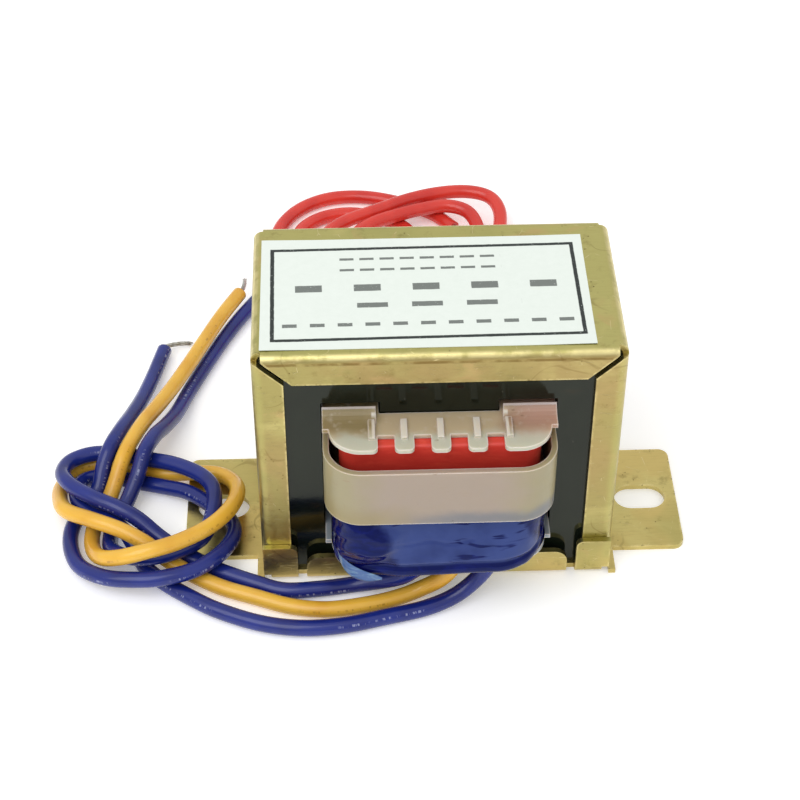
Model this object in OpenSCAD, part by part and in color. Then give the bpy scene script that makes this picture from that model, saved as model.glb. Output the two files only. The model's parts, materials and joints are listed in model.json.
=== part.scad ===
// Chassis transformer: E and I laminations in a two-part steel frame, with a
// split bobbin, two windings and free leads. Millimetres, +Z up, front at -Y.
// The origin is at the middle between the fixing slots, on the underside of the base plate.

/* [Core] */
// Width of an E lamination; its legs, windows and yokes are set shares of this
core_width = 57; // [42:0.5:72]
// Depth of the stack of laminations
stack_depth = 31.5; // [20:0.5:40]
// Pitch of the laminations in the stack
lamination_pitch = 0.5; // [0.5:0.5:2.5]
// Gap that oxide and varnish leave between two laminations
varnish_gap = 0.02; // [0.01:0.01:0.05]
// Clearance between the core and the frame round it
core_fit = 0.2; // [0.18:0.01:0.4]
// How far the middle of the core lies behind the line through the fixing slots
core_offset = 0.75; // [0:0.05:1.5]

/* [Upper bracket] */
// Thickness of the steel sheet
sheet = 1; // [0.8:0.1:1.3]
// Inside radius of every bend
bend_inside = 0.6; // [0.4:0.1:0.8]
// Depth of the flange along the top edges, measured from the top face
top_flange = 5.7; // [4.5:0.1:7]
// Width of the flange down the side edges, measured from the side face
side_flange = 5; // [4:0.1:6.5]
// Width of the mitre slit between a top and a side flange
mitre_gap = 0.9; // [0.5:0.1:1.3]

/* [Base plate] */
// Length over both feet
base_length = 86.7; // [84:0.1:110]
// Width of a foot
foot_width = 24; // [16:0.5:28]
// Corner radius of a foot
foot_corner = 1.8; // [1:0.1:4]
// Distance between the middles of the fixing slots
slot_spacing = 73.8; // [73:0.1:92]
// End-to-end length of a fixing slot
slot_length = 9; // [6.5:0.1:10]
// Width of a fixing slot
slot_width = 5.7; // [3.5:0.1:6]
// How far the plate stands out beyond the sides of the bracket
plate_margin = 1; // [0.5:0.1:2]
// Width of the middle lip on the front and back edges
lip_width = 44.4; // [30:0.1:46]
// Height of the middle lip above the floor
lip_height = 5.6; // [4:0.1:7]
// Corner radius of the middle lip
lip_corner = 2.3; // [1:0.1:3]
// Width of a corner tab
tab_width = 5.8; // [4:0.1:7]
// Height of a corner tab above the floor
tab_height = 7.9; // [5:0.1:10]
// Radius on the inner upper corner of a corner tab
tab_corner = 1.2; // [0.5:0.1:2]
// Gap between a lip or tab and the flange behind it
lip_fit = 0.05; // [0.02:0.01:0.2]
// Width of the relief notch at the outer end of each tab's bend
relief_notch = 1.2; // [0.8:0.1:1.6]

/* [Bobbin] */
// Clearance between the bobbin and the core
bobbin_fit = 0.2; // [0.1:0.05:0.3]
// Wall of the bobbin's tube
bobbin_wall = 1; // [0.8:0.1:1.4]
// Outer corner radius of the bobbin's tube
tube_corner = 0.5; // [0.2:0.1:1]
// Thickness of the two end flanges
end_flange = 0.8; // [0.6:0.1:1.6]
// Thickness of the partition between the windings
partition = 1; // [0.8:0.1:1.4]
// Height of the partition's underside above the underside of the bobbin
partition_height = 11.4; // [9:0.1:13]
// Height of the top flange's upper face above the underside of the bobbin
top_flange_height = 26.1; // [25:0.1:26.5]
// How far the flanges stand out in front of and behind the core
flange_reach = 8.8; // [8:0.1:11]
// Radius of the flanges' corners
flange_corner = 5.2; // [4:0.1:7]
// How far the toothed part of a flange stands back at each side from its widest part
shoulder_step = 1; // [0.6:0.1:1.4]
// How far the widest part of a flange stands out from the core
shoulder_length = 3.7; // [3.4:0.1:4.5]
// Pitch of the teeth on the front and back edges of the end flanges
tooth_pitch = 5.8; // [5.5:0.05:6]
// Width of a tooth of the top flange
tooth_width = 3.1; // [2.6:0.1:3.4]
// Width of a tooth of the bottom flange; the leads pass between the teeth
lead_tooth_width = 2.6; // [2.2:0.1:2.6]
// Corner radius of a tooth's tip
tooth_corner = 0.9; // [0.4:0.1:1]
// Length of the teeth of the top flange
tooth_length = 3.4; // [2.5:0.1:3.5]
// Length of the teeth of the bottom flange
lead_tooth_length = 4.1; // [4:0.1:4.5]
// Width of the ribs on the top flange
rib_width = 1; // [0.6:0.1:1.4]
// Height of the ribs on the top flange
rib_height = 0.5; // [0.4:0.1:1]
// Length of the ribs on the top flange
rib_length = 4.3; // [3:0.1:5]
// Distance of the ribs from the core
rib_start = 2.1; // [1.5:0.1:2.5]
// Distance of the outer ribs from the notches beside them
rib_inset = 0.4; // [0.2:0.1:0.8]
// Distance from the middle of the flange to a corner block
block_start = 10.2; // [9:0.1:12]
// Height of the corner blocks at the core
block_height = 1.6; // [1:0.1:2]
// Length of the corner blocks' curved slope along Y
block_length = 3.2; // [2.5:0.1:3.2]

/* [Windings] */
// Gap above, below and inside each winding
winding_fit = 0.05; // [0.02:0.01:0.1]
// Gap between a coil and the wall or core beside it
coil_gap = 0.15; // [0.1:0.05:0.3]
// Thickness of the tape over a winding
tape = 0.3; // [0.2:0.05:0.5]
// How far the primary coil bulges out beyond its depth in the windows
primary_bulge = 0.2; // [0:0.1:1]
// How far the secondary coil bulges out beyond its depth in the windows
secondary_bulge = 0.4; // [0:0.1:1]
// Outer corner radius of the primary coil
primary_corner = 3; // [2.5:0.1:5]
// Gap at the sides between the primary coil and the shroud
primary_setback = 1.5; // [0.8:0.1:2]
// How far the secondary coil stays back from the edge of the end flange
secondary_setback = 1; // [0.8:0.1:1.6]
// Outer corner radius of the secondary coil
secondary_corner = 5; // [4:0.1:6]
// How far the lower tape pad stands out in front of the bottom flange
pad_reach = 3.4; // [2.5:0.1:4]
// How far the lower tape pad hangs below the underside of the bobbin
pad_drop = 1.1; // [0.8:0.1:1.6]
// Radius of the pad's lower front edge
pad_round = 1.8; // [1:0.1:2]
// Radius of the pad's corners in plan
pad_corner = 7.5; // [6:0.5:9]
// How far the top of the pad stands out beyond the coil
pad_start = 0.6; // [0.4:0.1:1]

/* [Shroud] */
// Wall of the shroud
shroud_wall = 1; // [0.8:0.1:1.2]
// Height of the shroud
shroud_height = 11.3; // [9:0.1:12]
// Gap between the partition and the shroud
shroud_fit = 0.1; // [0.05:0.05:0.2]
// How far the shroud stands out beyond the end flanges
shroud_reach = 2; // [1.5:0.1:2.6]
// Outer corner radius of the shroud
shroud_corner = 6.2; // [4:0.1:8]
// Gap between the two halves of the shroud
shroud_joint = 0.2; // [0.1:0.1:1]

/* [Label] */
// Length of the label
label_length = 52.7; // [30:0.1:54]
// Width of the label
label_width = 27.2; // [15:0.1:28]
// Thickness of the label
label_thickness = 0.1; // [0.05:0.05:0.3]
// Place of the label's middle along X, from the middle of the core
label_x = -1.8; // [-2:0.1:2]
// Place of the label's middle along Y, from the middle of the core
label_y = -1.2; // [-2:0.1:1]
// Turn of the label in degrees
label_turn = 0.5; // [-1:0.1:1]

/* [Leads] */
// Outside diameter of a lead
lead_diameter = 2.8; // [2:0.1:2.8]
// Diameter of the stripped conductor
conductor_diameter = 0.95; // [0.5:0.05:1.2]
// Distance of each primary lead from the middle of the shroud
primary_lead_x = 4.5; // [3:0.1:7]
// Height of the primary leads above the partition
primary_lead_rise = 8.8; // [6:0.1:9]
// Clearance between a lead and the slot that it leaves by
lead_clearance = 0.15; // [0.1:0.05:0.4]

/* [Hidden] */
$fn = 48;
// Reach of a cut beyond the face that it opens
over = 1;
// Sides of the tube of a lead
lead_sides = 8;

// Core
leg = core_width / 6;
tongue = core_width / 3;
window_height = core_width / 2;
core_height = window_height + 2 * leg;
core_bottom = sheet;
window_bottom = core_bottom + leg;
window_top = window_bottom + window_height;
lamination_count = floor(stack_depth / lamination_pitch);
lamination_thickness = lamination_pitch - varnish_gap;

// Frame
bend = bend_inside + sheet;
bracket_x = core_width / 2 + core_fit + sheet;
bracket_y = stack_depth / 2 + core_fit + sheet;
bracket_top = core_bottom + core_height + core_fit + sheet;
flange_foot = bend + lip_fit;
mitre_angle = 45;
mitre_length = 2 * sqrt(2) * (max(top_flange, side_flange) + mitre_gap);
lip_y = bracket_y + lip_fit + sheet;
plate_x = bracket_x + plate_margin;
tab_outer = bracket_x - core_fit;

// Bobbin
bobbin_bottom = window_bottom + bobbin_fit;
hole_x = tongue / 2 + bobbin_fit;
hole_y = stack_depth / 2 + bobbin_fit;
tube_x = hole_x + bobbin_wall;
tube_y = hole_y + bobbin_wall;
flange_x = tongue / 2 + leg - bobbin_fit;
flange_y = stack_depth / 2 + flange_reach;
bottom_flange_top = bobbin_bottom + end_flange;
top_flange_top = bobbin_bottom + top_flange_height;
top_flange_bottom = top_flange_top - end_flange;
partition_bottom = bobbin_bottom + partition_height;
partition_top = partition_bottom + partition;
shoulder_y = stack_depth / 2 + shoulder_length;
toothed_x = flange_x - shoulder_step;
outer_rib_x = 2 * tooth_pitch - tooth_width / 2 + rib_inset + rib_width / 2;
rib_places = [-outer_rib_x, -tooth_pitch, 0, tooth_pitch, outer_rib_x];
rib_y = stack_depth / 2 + rib_start + rib_length / 2;

// Shroud
shroud_x = flange_x;
shroud_y = flange_y + shroud_reach;
shroud_inner_x = shroud_x - shroud_wall;
shroud_inner_y = shroud_y - shroud_wall;
shroud_inner_corner = shroud_corner - shroud_wall;
partition_x = shroud_inner_x - shroud_fit;
partition_y = shroud_inner_y - shroud_fit;

// Coils
primary_x = shroud_inner_x - primary_setback;
primary_y = min(tube_y + (primary_x - tube_x) + primary_bulge, shroud_inner_y - coil_gap);
secondary_x = flange_x - secondary_setback;
secondary_y = min(tube_y + (secondary_x - tube_x) + secondary_bulge, flange_y - coil_gap);
pad_y = flange_y + pad_reach;
pad_bottom = bobbin_bottom - pad_drop;
pad_steps = 6;
slope_steps = 6;
wire_corner = tube_corner + winding_fit;
primary_bottom = partition_top + winding_fit;
primary_top = top_flange_bottom - winding_fit;
primary_winding_top = primary_top - tape - winding_fit;
secondary_bottom = bottom_flange_top + winding_fit;
secondary_top = partition_bottom - winding_fit;

// Leads
lead_slot = lead_diameter + 2 * lead_clearance;
primary_lead_z = partition_top + primary_lead_rise;
// Place where the secondary leads come out of the tape, in front of the bottom flange
lead_exit_y = -22;
primary_exit_y = core_offset + primary_y;
inner_exit_x = tooth_pitch / 2;
outer_exit_x = 1.5 * tooth_pitch;
// Upright share above which a route counts as standing
steep = 0.9;
// Length of bare conductor that runs straight out of the insulation
bare_start = 1;

// Route of the blue secondary lead that ends up on the left, and of its bare end
blue_left_route = [
    [outer_exit_x, lead_exit_y, secondary_bottom], [outer_exit_x, lead_exit_y, 8.8], [6.3, -22.5, 5],
    [2.5, -23.8, 2.3], [-2.5, -25.6, 1.5], [-9, -27.3, 1.5], [-16, -28.9, 1.5], [-23, -29.3, 1.5],
    [-30, -28, 1.5], [-37, -25, 1.5], [-42, -21.8, 1.5], [-46.4, -18.4, 1.5], [-49.8, -14.8, 1.5],
    [-51.6, -11, 1.7], [-53.6, -8.2, 3.7], [-56.5, -6.3, 4.6], [-59.3, -4.8, 4.5],
    [-61.6, -2.4, 4.4], [-62.6, 0.4, 4.2], [-62.9, 3.8, 2.8], [-61.6, 7, 1.6], [-57.8, 7.7, 1.5],
    [-52.5, 6.1, 1.5], [-47.5, 4.3, 1.9], [-43, 2, 2.6], [-38.5, -1.8, 2.6], [-35.4, -5.5, 2.7],
    [-34.9, -9.8, 3.5], [-37, -14.9, 4.6], [-41, -18.4, 4.7], [-46, -20, 4.6], [-51, -20, 4.2],
    [-56.6, -18.4, 3.3], [-61.2, -14.4, 2], [-63.2, -9, 1.5], [-63, -4, 1.5], [-60.8, 0, 1.5],
    [-59.2, 3.4, 2.8], [-58.2, 6.6, 5.6], [-57, 9.5, 7.3], [-55.6, 14, 6.9], [-54, 20.5, 4.9],
    [-52.6, 27, 3.1], [-51.2, 34, 2], [-49.6, 42, 1.5]
];
blue_left_tip = [[-47.4, 44, 1.2], [-44, 44.9, 0.6]];
// Route of the yellow secondary lead, and of its bare end
yellow_route = [
    [inner_exit_x, lead_exit_y, secondary_bottom], [inner_exit_x, lead_exit_y, 8.8], [0.6, -22, 5],
    [-3.2, -21.9, 2.2], [-7.5, -23.2, 1.5], [-13, -24.6, 1.5], [-19, -25.3, 1.5],
    [-25, -24.4, 1.5], [-31, -22.1, 1.5], [-37, -19.6, 1.5], [-42.6, -16.2, 1.7],
    [-46.2, -13.8, 2.4], [-49.8, -12.1, 4.8], [-54, -10.2, 6.2], [-59.3, -7.8, 6.5],
    [-63.7, -4.8, 5.6], [-65.5, -0.4, 3.8], [-65.8, 5, 1.9], [-63.2, 9.9, 1.5], [-58, 11, 1.5],
    [-52, 9.1, 1.5], [-47, 7.7, 1.9], [-42.5, 7, 2.6], [-38, 6.5, 2.6], [-35, 3, 3.8],
    [-34.3, -2.5, 6.2], [-35.7, -8, 7.9], [-39, -12, 8.1], [-44, -15.2, 8.1], [-49, -17, 8],
    [-53.6, -17, 6.6], [-57.3, -14.8, 4.4], [-59.3, -10, 2], [-59.4, -4.8, 1.5],
    [-57.8, -0.8, 1.8], [-56.2, 3, 4], [-54.6, 7, 7], [-53.1, 11.5, 7.4], [-51.4, 16.5, 6.8],
    [-49.4, 21.5, 5.8], [-46.8, 28, 4.9], [-44.2, 34.5, 4.6], [-41.5, 41.5, 4.4], [-38.6, 49, 4],
    [-35.4, 56, 3.6]
];
yellow_tip = [[-34.6, 59.6, 2.8], [-34.6, 63.4, 1.4]];
// Route of the blue secondary lead that ends up on the right, and of its bare end
blue_right_route = [
    [-inner_exit_x, lead_exit_y, secondary_bottom], [-inner_exit_x, lead_exit_y, 8.8],
    [-5.5, -21.4, 5.3], [-9, -20.6, 3.2], [-14, -19.8, 1.5], [-20, -20.6, 1.5], [-26, -20.8, 1.5], [-31, -18.9, 1.5],
    [-38, -15.4, 1.5], [-43.4, -12.2, 2.2], [-47.5, -9.5, 3.4], [-51.2, -7.2, 5.6], [-54.5, -5.8, 7],
    [-58, -4, 7.3], [-61.3, -1.8, 7.3], [-63.9, 1, 6.8], [-65.3, 4.8, 5.6], [-64.2, 8.6, 4.7],
    [-60.3, 10.7, 4.4], [-55, 10.2, 4.4], [-50, 8.8, 4.4], [-45.5, 6.8, 5], [-41, 3.8, 5.3],
    [-38.6, 0, 5.6], [-38.4, -5.5, 5.5], [-40, -11, 4.9], [-44, -14.4, 5.2], [-48.5, -15.8, 5.2],
    [-52.8, -15, 4.6], [-55.7, -11.6, 2.8], [-56.4, -7.5, 1.5], [-55.8, -3.5, 1.5], [-54, 0, 2.6],
    [-52.2, 4, 5], [-50.9, 8, 7.2], [-49.4, 12.5, 6.8], [-47.8, 17, 5], [-46.2, 22.5, 3],
    [-44.4, 29.5, 1.7], [-41.4, 37.5, 1.5], [-38, 45.5, 1.5], [-34.4, 52.5, 1.5],
    [-30.8, 57.8, 1.5], [-26, 60, 1.5]
];
blue_right_tip = [[-23, 59, 1.4], [-19, 56.4, 0.8]];
// Route of the outer red primary lead, and of its bare end
red_outer_route = [
    [-primary_lead_x, primary_exit_y, primary_lead_z], [-4.5, 29, 31.9], [-5.6, 35.5, 29.9],
    [-9, 44, 22.5], [-11.5, 49.5, 16], [-14, 55, 10], [-17, 61.5, 5.9], [-18.7, 68, 4.6],
    [-17.8, 73.6, 4.4], [-14.2, 77.5, 4.4], [-8, 80.9, 4.4], [-1, 84.5, 4.4], [5.4, 86.5, 4.4],
    [11.4, 86.8, 4.4], [15.8, 85, 4.2], [17.6, 80.8, 3.6], [17, 75, 2.4], [14.5, 68.5, 1.5],
    [8.5, 63, 1.5], [1, 60.8, 1.5], [-8, 60.3, 1.5], [-17, 61.2, 1.5], [-24, 65.5, 1.5],
    [-28, 72, 1.5], [-27.8, 79, 1.5], [-24, 85.3, 1.5], [-18, 89, 1.5], [-11, 89.6, 1.5],
    [-4, 87.7, 1.5], [3.5, 83.6, 1.5], [8, 78.4, 1.5]
];
red_outer_tip = [[8.6, 75, 1.2], [7.8, 71.6, 0.7]];
// Route of the inner red primary lead, and of its bare end
red_inner_route = [
    [primary_lead_x, primary_exit_y, primary_lead_z], [4.5, 29, 31.9], [3.3, 35.5, 29.9],
    [-0.5, 44, 22.5], [-3.5, 49.5, 16], [-6.5, 55, 10], [-9.8, 61.5, 5.9], [-12.2, 68, 4.6],
    [-12, 73, 4.4], [-9, 76.5, 4.4], [-4.3, 79, 4.4], [2, 81.3, 4.4], [7, 82, 4.4],
    [11, 80.2, 4.1], [12.8, 76, 3.1], [12.2, 71.3, 2], [8.8, 67, 1.5], [2.5, 64.5, 1.5],
    [-5, 64, 1.5], [-13, 64.4, 1.5], [-19.8, 67, 1.5], [-23.6, 72, 1.5], [-23.6, 77.8, 1.5],
    [-20, 82, 1.5], [-14.5, 83.8, 1.5], [-8.5, 82.8, 1.5], [-3, 79.6, 1.5], [0.5, 74.5, 1.5]
];
red_inner_tip = [[0.6, 71, 1.2], [-0.8, 67.8, 0.7]];

// ---------- shared shapes ----------

// A rectangle with rounded corners, centred
module rounded_box(width, depth, radius) {
    square([width - 2 * radius, depth], center = true);
    square([width, depth - 2 * radius], center = true);
    for (sx = [-1, 1], sy = [-1, 1])
        translate([sx * (width / 2 - radius), sy * (depth / 2 - radius)])
            circle(radius);
}

// A block below the X axis whose two upper corners are rounded
module rounded_top(width, depth, radius) {
    translate([-width / 2, -depth])
        square([width, depth - radius]);
    translate([-width / 2 + radius, -depth])
        square([width - 2 * radius, depth]);
    for (side = [-1, 1])
        translate([side * (width / 2 - radius), -radius])
            circle(radius);
}

// Section of a bent sheet: a web along the X axis and two legs that hang from it
module channel(width, depth) {
    difference() {
        rounded_top(width, depth, bend);
        translate([0, -sheet])
            rounded_top(width - 2 * sheet, depth, bend_inside);
    }
}

// A channel along X, with its web on top
module channel_along_x(length, width, depth) {
    rotate([90, 0, 90])
        linear_extrude(length, center = true)
            channel(width, depth);
}

// Four copies, one in each corner of the plan
module each_corner() {
    for (sx = [0, 1], sy = [0, 1])
        mirror([sx, 0, 0])
            mirror([0, sy, 0])
                children();
}

// Moves what is drawn about the middle of the core to its place
module at_core() {
    translate([0, core_offset, 0])
        children();
}

// ---------- frame ----------

module mitre_slit() {
    translate([bracket_x, bracket_y - bend, bracket_top])
        rotate([0, mitre_angle, 0])
            translate([-mitre_gap / 2, 0, -mitre_length / 2])
                cube([mitre_gap, bend + over, mitre_length]);
}

module upper_bracket() {
    color("#b9a864")
        at_core()
            difference() {
                union() {
                    translate([0, 0, bracket_top])
                        rotate([90, 0, 0])
                            linear_extrude(2 * (bracket_y - bend), center = true)
                                channel(2 * bracket_x, bracket_top - sheet);
                    translate([0, 0, bracket_top])
                        channel_along_x(2 * (bracket_x - bend), 2 * bracket_y, top_flange);
                    for (side = [0, 1])
                        mirror([side, 0, 0])
                            translate([bracket_x, 0, flange_foot])
                                rotate([0, 0, -90])
                                    linear_extrude(bracket_top - bend - flange_foot)
                                        channel(2 * bracket_y, side_flange);
                }
                each_corner()
                    mitre_slit();
            }
}

module fixing_slot() {
    run = (slot_length - slot_width) / 2;
    translate([slot_spacing / 2, 0, -over]) {
        for (side = [-1, 1])
            translate([side * run, 0, 0])
                cylinder(h = sheet + 2 * over, d = slot_width);
        translate([-run, -slot_width / 2, 0])
            cube([2 * run, slot_width, sheet + 2 * over]);
    }
}

// A corner tab seen from the front, with its outer upper corner left square
module tab_outline() {
    translate([tab_outer - tab_width, 0]) {
        square([tab_width, tab_height - tab_corner]);
        translate([tab_corner, 0])
            square([tab_width - tab_corner, tab_height]);
        translate([tab_corner, tab_height - tab_corner])
            circle(tab_corner);
    }
}

// The front and back lips of one outline, folded up from the plate
module folded_lips(height) {
    intersection() {
        mirror([0, 0, 1])
            channel_along_x(2 * tab_outer, 2 * lip_y, height);
        rotate([90, 0, 0])
            linear_extrude(2 * lip_y + 2 * over, center = true)
                children();
    }
}

// The plate under the core, without the feet
module plate_outline() {
    square([2 * plate_x, 2 * (lip_y - bend)], center = true);
    for (side = [-1, 1])
        translate([side * (tab_outer + plate_x) / 2, 0])
            square([plate_x - tab_outer, 2 * lip_y], center = true);
}

module base_plate() {
    color("#b3a35f")
        difference() {
            union() {
                linear_extrude(sheet)
                    rounded_box(base_length, foot_width, foot_corner);
                at_core() {
                    linear_extrude(sheet)
                        plate_outline();
                    folded_lips(lip_height)
                        translate([0, lip_height])
                            rounded_top(lip_width, lip_height, lip_corner);
                    for (side = [0, 1])
                        mirror([side, 0, 0])
                            folded_lips(tab_height)
                                tab_outline();
                }
            }
            for (side = [0, 1])
                mirror([side, 0, 0])
                    fixing_slot();
            at_core()
                each_corner()
                    translate([tab_outer - relief_notch, lip_y - bend, -over])
                        cube([relief_notch, bend + over, bend + over]);
        }
}

// ---------- core ----------

module e_outline() {
    square([core_width, leg]);
    square([leg, leg + window_height]);
    translate([(core_width - tongue) / 2, 0])
        square([tongue, leg + window_height]);
    translate([core_width - leg, 0])
        square([leg, leg + window_height]);
}

module i_outline() {
    square([core_width, leg]);
}

// Every second sheet of the stack, from the sheet at first, standing in the XZ plane
module every_second_sheet(first) {
    for (i = [first : 2 : lamination_count - 1])
        translate([-core_width / 2, -stack_depth / 2 + i * lamination_pitch + lamination_thickness, 0])
            rotate([90, 0, 0])
                linear_extrude(lamination_thickness)
                    children();
}

module e_laminations_upright() {
    color("#3c403a")
        at_core()
            translate([0, 0, core_bottom])
                every_second_sheet(0)
                    e_outline();
}

module e_laminations_inverted() {
    color("#3c403a")
        at_core()
            translate([0, 0, core_bottom + core_height])
                every_second_sheet(1)
                    mirror([0, 1])
                        e_outline();
}

module i_laminations_top() {
    color("#3c403a")
        at_core()
            translate([0, 0, window_top])
                every_second_sheet(0)
                    i_outline();
}

module i_laminations_bottom() {
    color("#3c403a")
        at_core()
            translate([0, 0, core_bottom])
                every_second_sheet(1)
                    i_outline();
}

// ---------- bobbin ----------

// Outline of an end flange without its teeth, grown by a margin
module flange_outline(margin) {
    rounded_box(2 * (toothed_x + margin), 2 * (flange_y + margin), flange_corner + margin);
    square([2 * (flange_x + margin), 2 * (shoulder_y + margin)], center = true);
}

// Outline of an end flange: its front and back edges are cut into teeth
module toothed_flange(length, width) {
    difference() {
        flange_outline(0);
        for (side = [-1, 1])
            translate([0, side * (flange_y - length / 2 + over / 2)])
                square([4 * tooth_pitch, length + over], center = true);
    }
    for (side = [0, 1], i = [-2 : 2])
        mirror([0, side])
            translate([i * tooth_pitch, flange_y - length])
                tooth(length, width);
}

// A tooth with a rounded tip, whose root runs into the flange
module tooth(length, width) {
    translate([-width / 2, -over])
        square([width, length + over - tooth_corner]);
    translate([0, length - width / 2])
        rounded_box(width, width, tooth_corner);
}

// A block on the top flange with a hollow slope down from the core
module corner_block() {
    back = stack_depth / 2 + bobbin_fit;
    slope = [
        for (step = [0 : slope_steps])
            let (angle = 90 * step / slope_steps)
                [back + block_length * (1 - cos(angle)), block_height * (1 - sin(angle))]
    ];
    translate([block_start, 0, 0])
        rotate([90, 0, 90])
            linear_extrude(flange_x - block_start)
                polygon(concat([[back, 0]], slope));
}

module bobbin() {
    color("#d8cdb0")
        at_core()
            difference() {
                union() {
                    translate([0, 0, bobbin_bottom])
                        linear_extrude(top_flange_height)
                            rounded_box(2 * tube_x, 2 * tube_y, tube_corner);
                    translate([0, 0, bobbin_bottom])
                        linear_extrude(end_flange)
                            toothed_flange(lead_tooth_length, lead_tooth_width);
                    translate([0, 0, partition_bottom])
                        linear_extrude(partition)
                            rounded_box(2 * partition_x, 2 * partition_y, shroud_inner_corner);
                    translate([0, 0, top_flange_bottom])
                        linear_extrude(end_flange)
                            toothed_flange(tooth_length, tooth_width);
                    translate([0, 0, top_flange_top]) {
                        for (side = [-1, 1], x = rib_places)
                            translate([x, side * rib_y, rib_height / 2])
                                cube([rib_width, rib_length, rib_height], center = true);
                        each_corner()
                            corner_block();
                    }
                }
                translate([0, 0, bobbin_bottom - over])
                    linear_extrude(top_flange_height + 2 * over)
                        square([2 * hole_x, 2 * hole_y], center = true);
            }
}

// ---------- windings ----------

// A ring of rectangular turns round the bobbin's tube
module coil_ring(bottom, top, outer_x, outer_y, corner, inner_x, inner_y, inner_corner) {
    translate([0, 0, bottom])
        linear_extrude(top - bottom)
            difference() {
                rounded_box(2 * outer_x, 2 * outer_y, corner);
                rounded_box(2 * inner_x, 2 * inner_y, inner_corner);
            }
}

module primary_winding() {
    color("#a8572a")
        at_core()
            coil_ring(primary_bottom, primary_winding_top,
                primary_x - tape - winding_fit, primary_y - tape - winding_fit, primary_corner - tape,
                tube_x + winding_fit, tube_y + winding_fit, wire_corner);
}

// The tape over the primary coil, which is turned in over the top of the turns
module primary_tape() {
    color("#a82a25")
        at_core() {
            coil_ring(primary_bottom, primary_top,
                primary_x, primary_y, primary_corner,
                primary_x - tape, primary_y - tape, primary_corner - tape);
            coil_ring(primary_top - tape, primary_top,
                primary_x, primary_y, primary_corner,
                tube_x + winding_fit, tube_y + winding_fit, wire_corner);
        }
}

module secondary_winding() {
    color("#a8572a")
        at_core()
            coil_ring(secondary_bottom, secondary_top,
                secondary_x - tape - winding_fit, secondary_y - tape - winding_fit,
                secondary_corner - tape, tube_x + winding_fit, tube_y + winding_fit, wire_corner);
}

// The pad of tape over the joints at the front, which hangs over the bottom flange
module tape_pad() {
    edge = [
        for (step = [0 : pad_steps])
            let (angle = 90 * step / pad_steps)
                [pad_y - pad_round * (1 - cos(angle)), pad_bottom + pad_round * (1 - sin(angle))]
    ];
    profile = concat(
        [[secondary_y - tape, secondary_top], [secondary_y + pad_start, secondary_top]],
        edge,
        [[tube_y, pad_bottom], [tube_y, secondary_bottom], [secondary_y - tape, secondary_bottom]]
    );
    difference() {
        intersection() {
            rotate([90, 0, -90])
                linear_extrude(2 * secondary_x, center = true)
                    polygon(profile);
            translate([0, 0, pad_bottom])
                linear_extrude(secondary_top - pad_bottom)
                    rounded_box(2 * secondary_x, 2 * pad_y, pad_corner);
        }
        translate([0, 0, pad_bottom - over])
            linear_extrude(bottom_flange_top + coil_gap - pad_bottom + over)
                flange_outline(coil_gap);
    }
}

module secondary_tape() {
    color("#2c3490")
        at_core() {
            coil_ring(secondary_bottom, secondary_top,
                secondary_x, secondary_y, secondary_corner,
                secondary_x - tape, secondary_y - tape, secondary_corner - tape);
            tape_pad();
        }
}

// ---------- shroud ----------

module shroud_half() {
    translate([0, 0, partition_bottom])
        linear_extrude(shroud_height)
            intersection() {
                difference() {
                    rounded_box(2 * shroud_x, 2 * shroud_y, shroud_corner);
                    rounded_box(2 * shroud_inner_x, 2 * shroud_inner_y, shroud_inner_corner);
                }
                translate([-shroud_x - over, shroud_joint / 2])
                    square([2 * (shroud_x + over), shroud_y]);
            }
}

module shroud_front() {
    color("#d0c5a4")
        at_core()
            mirror([0, 1, 0])
                shroud_half();
}

module shroud_rear() {
    color("#d0c5a4")
        at_core()
            difference() {
                shroud_half();
                for (side = [-1, 1])
                    translate([side * primary_lead_x, shroud_inner_y - over, primary_lead_z])
                        translate([-lead_slot / 2, 0, -lead_slot / 2])
                            cube([lead_slot, shroud_wall + 2 * over, shroud_height]);
            }
}

// ---------- label ----------

module label() {
    color("#eef2ee")
        at_core()
            translate([label_x, label_y, bracket_top])
                rotate([0, 0, label_turn])
                    linear_extrude(label_thickness)
                        square([label_length, label_width], center = true);
}

// ---------- leads ----------

// Unit vector along a route at point i
function heading(route, i) =
    let (run = route[min(i + 1, len(route) - 1)] - route[max(i - 1, 0)])
    run / norm(run);

// The part of a vector that lies square to a unit vector, made one long
function squared(side, ahead) =
    let (rest = side - (side * ahead) * ahead)
    rest / norm(rest);

// An axis that lies well away from a unit vector
function across(ahead) = abs(ahead.z) < steep ? [0, 0, 1] : [1, 0, 0];

// One sideways unit vector for each point of a route, carried along without twist
function sideways(route) = [
    for (
        i = 0, side = squared(across(heading(route, 0)), heading(route, 0));
        i < len(route);
        i = i + 1, side = i < len(route) ? squared(side, heading(route, i)) : side
    )
        side
];

// The points of all the rings round a route, ring after ring
function ring_points(route, radius) =
    let (sides = sideways(route))
    [
        for (i = [0 : len(route) - 1], k = [0 : lead_sides - 1])
            let (angle = 360 * k / lead_sides, upward = cross(heading(route, i), sides[i]))
                route[i] + radius * (cos(angle) * sides[i] + sin(angle) * upward)
    ];

// The triangles between the rings, and the two ends
function tube_faces(rings) =
    let (
        last = (rings - 1) * lead_sides,
        near_end = [for (k = [0 : lead_sides - 1]) k],
        far_end = [for (k = [lead_sides - 1 : -1 : 0]) last + k]
    )
    concat([near_end, far_end], [
        for (i = [0 : rings - 2], k = [0 : lead_sides - 1], half = [0, 1])
            let (
                here = i * lead_sides,
                next = here + lead_sides,
                k2 = (k + 1) % lead_sides
            )
                half == 0 ? [here + k, next + k, next + k2] : [here + k, next + k2, here + k2]
    ]);

// A tube of one diameter swept along a route
module swept_tube(route, diameter) {
    polyhedron(ring_points(route, diameter / 2), tube_faces(len(route)));
}

module insulation(colour, route) {
    color(colour)
        swept_tube(route, lead_diameter);
}

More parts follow.
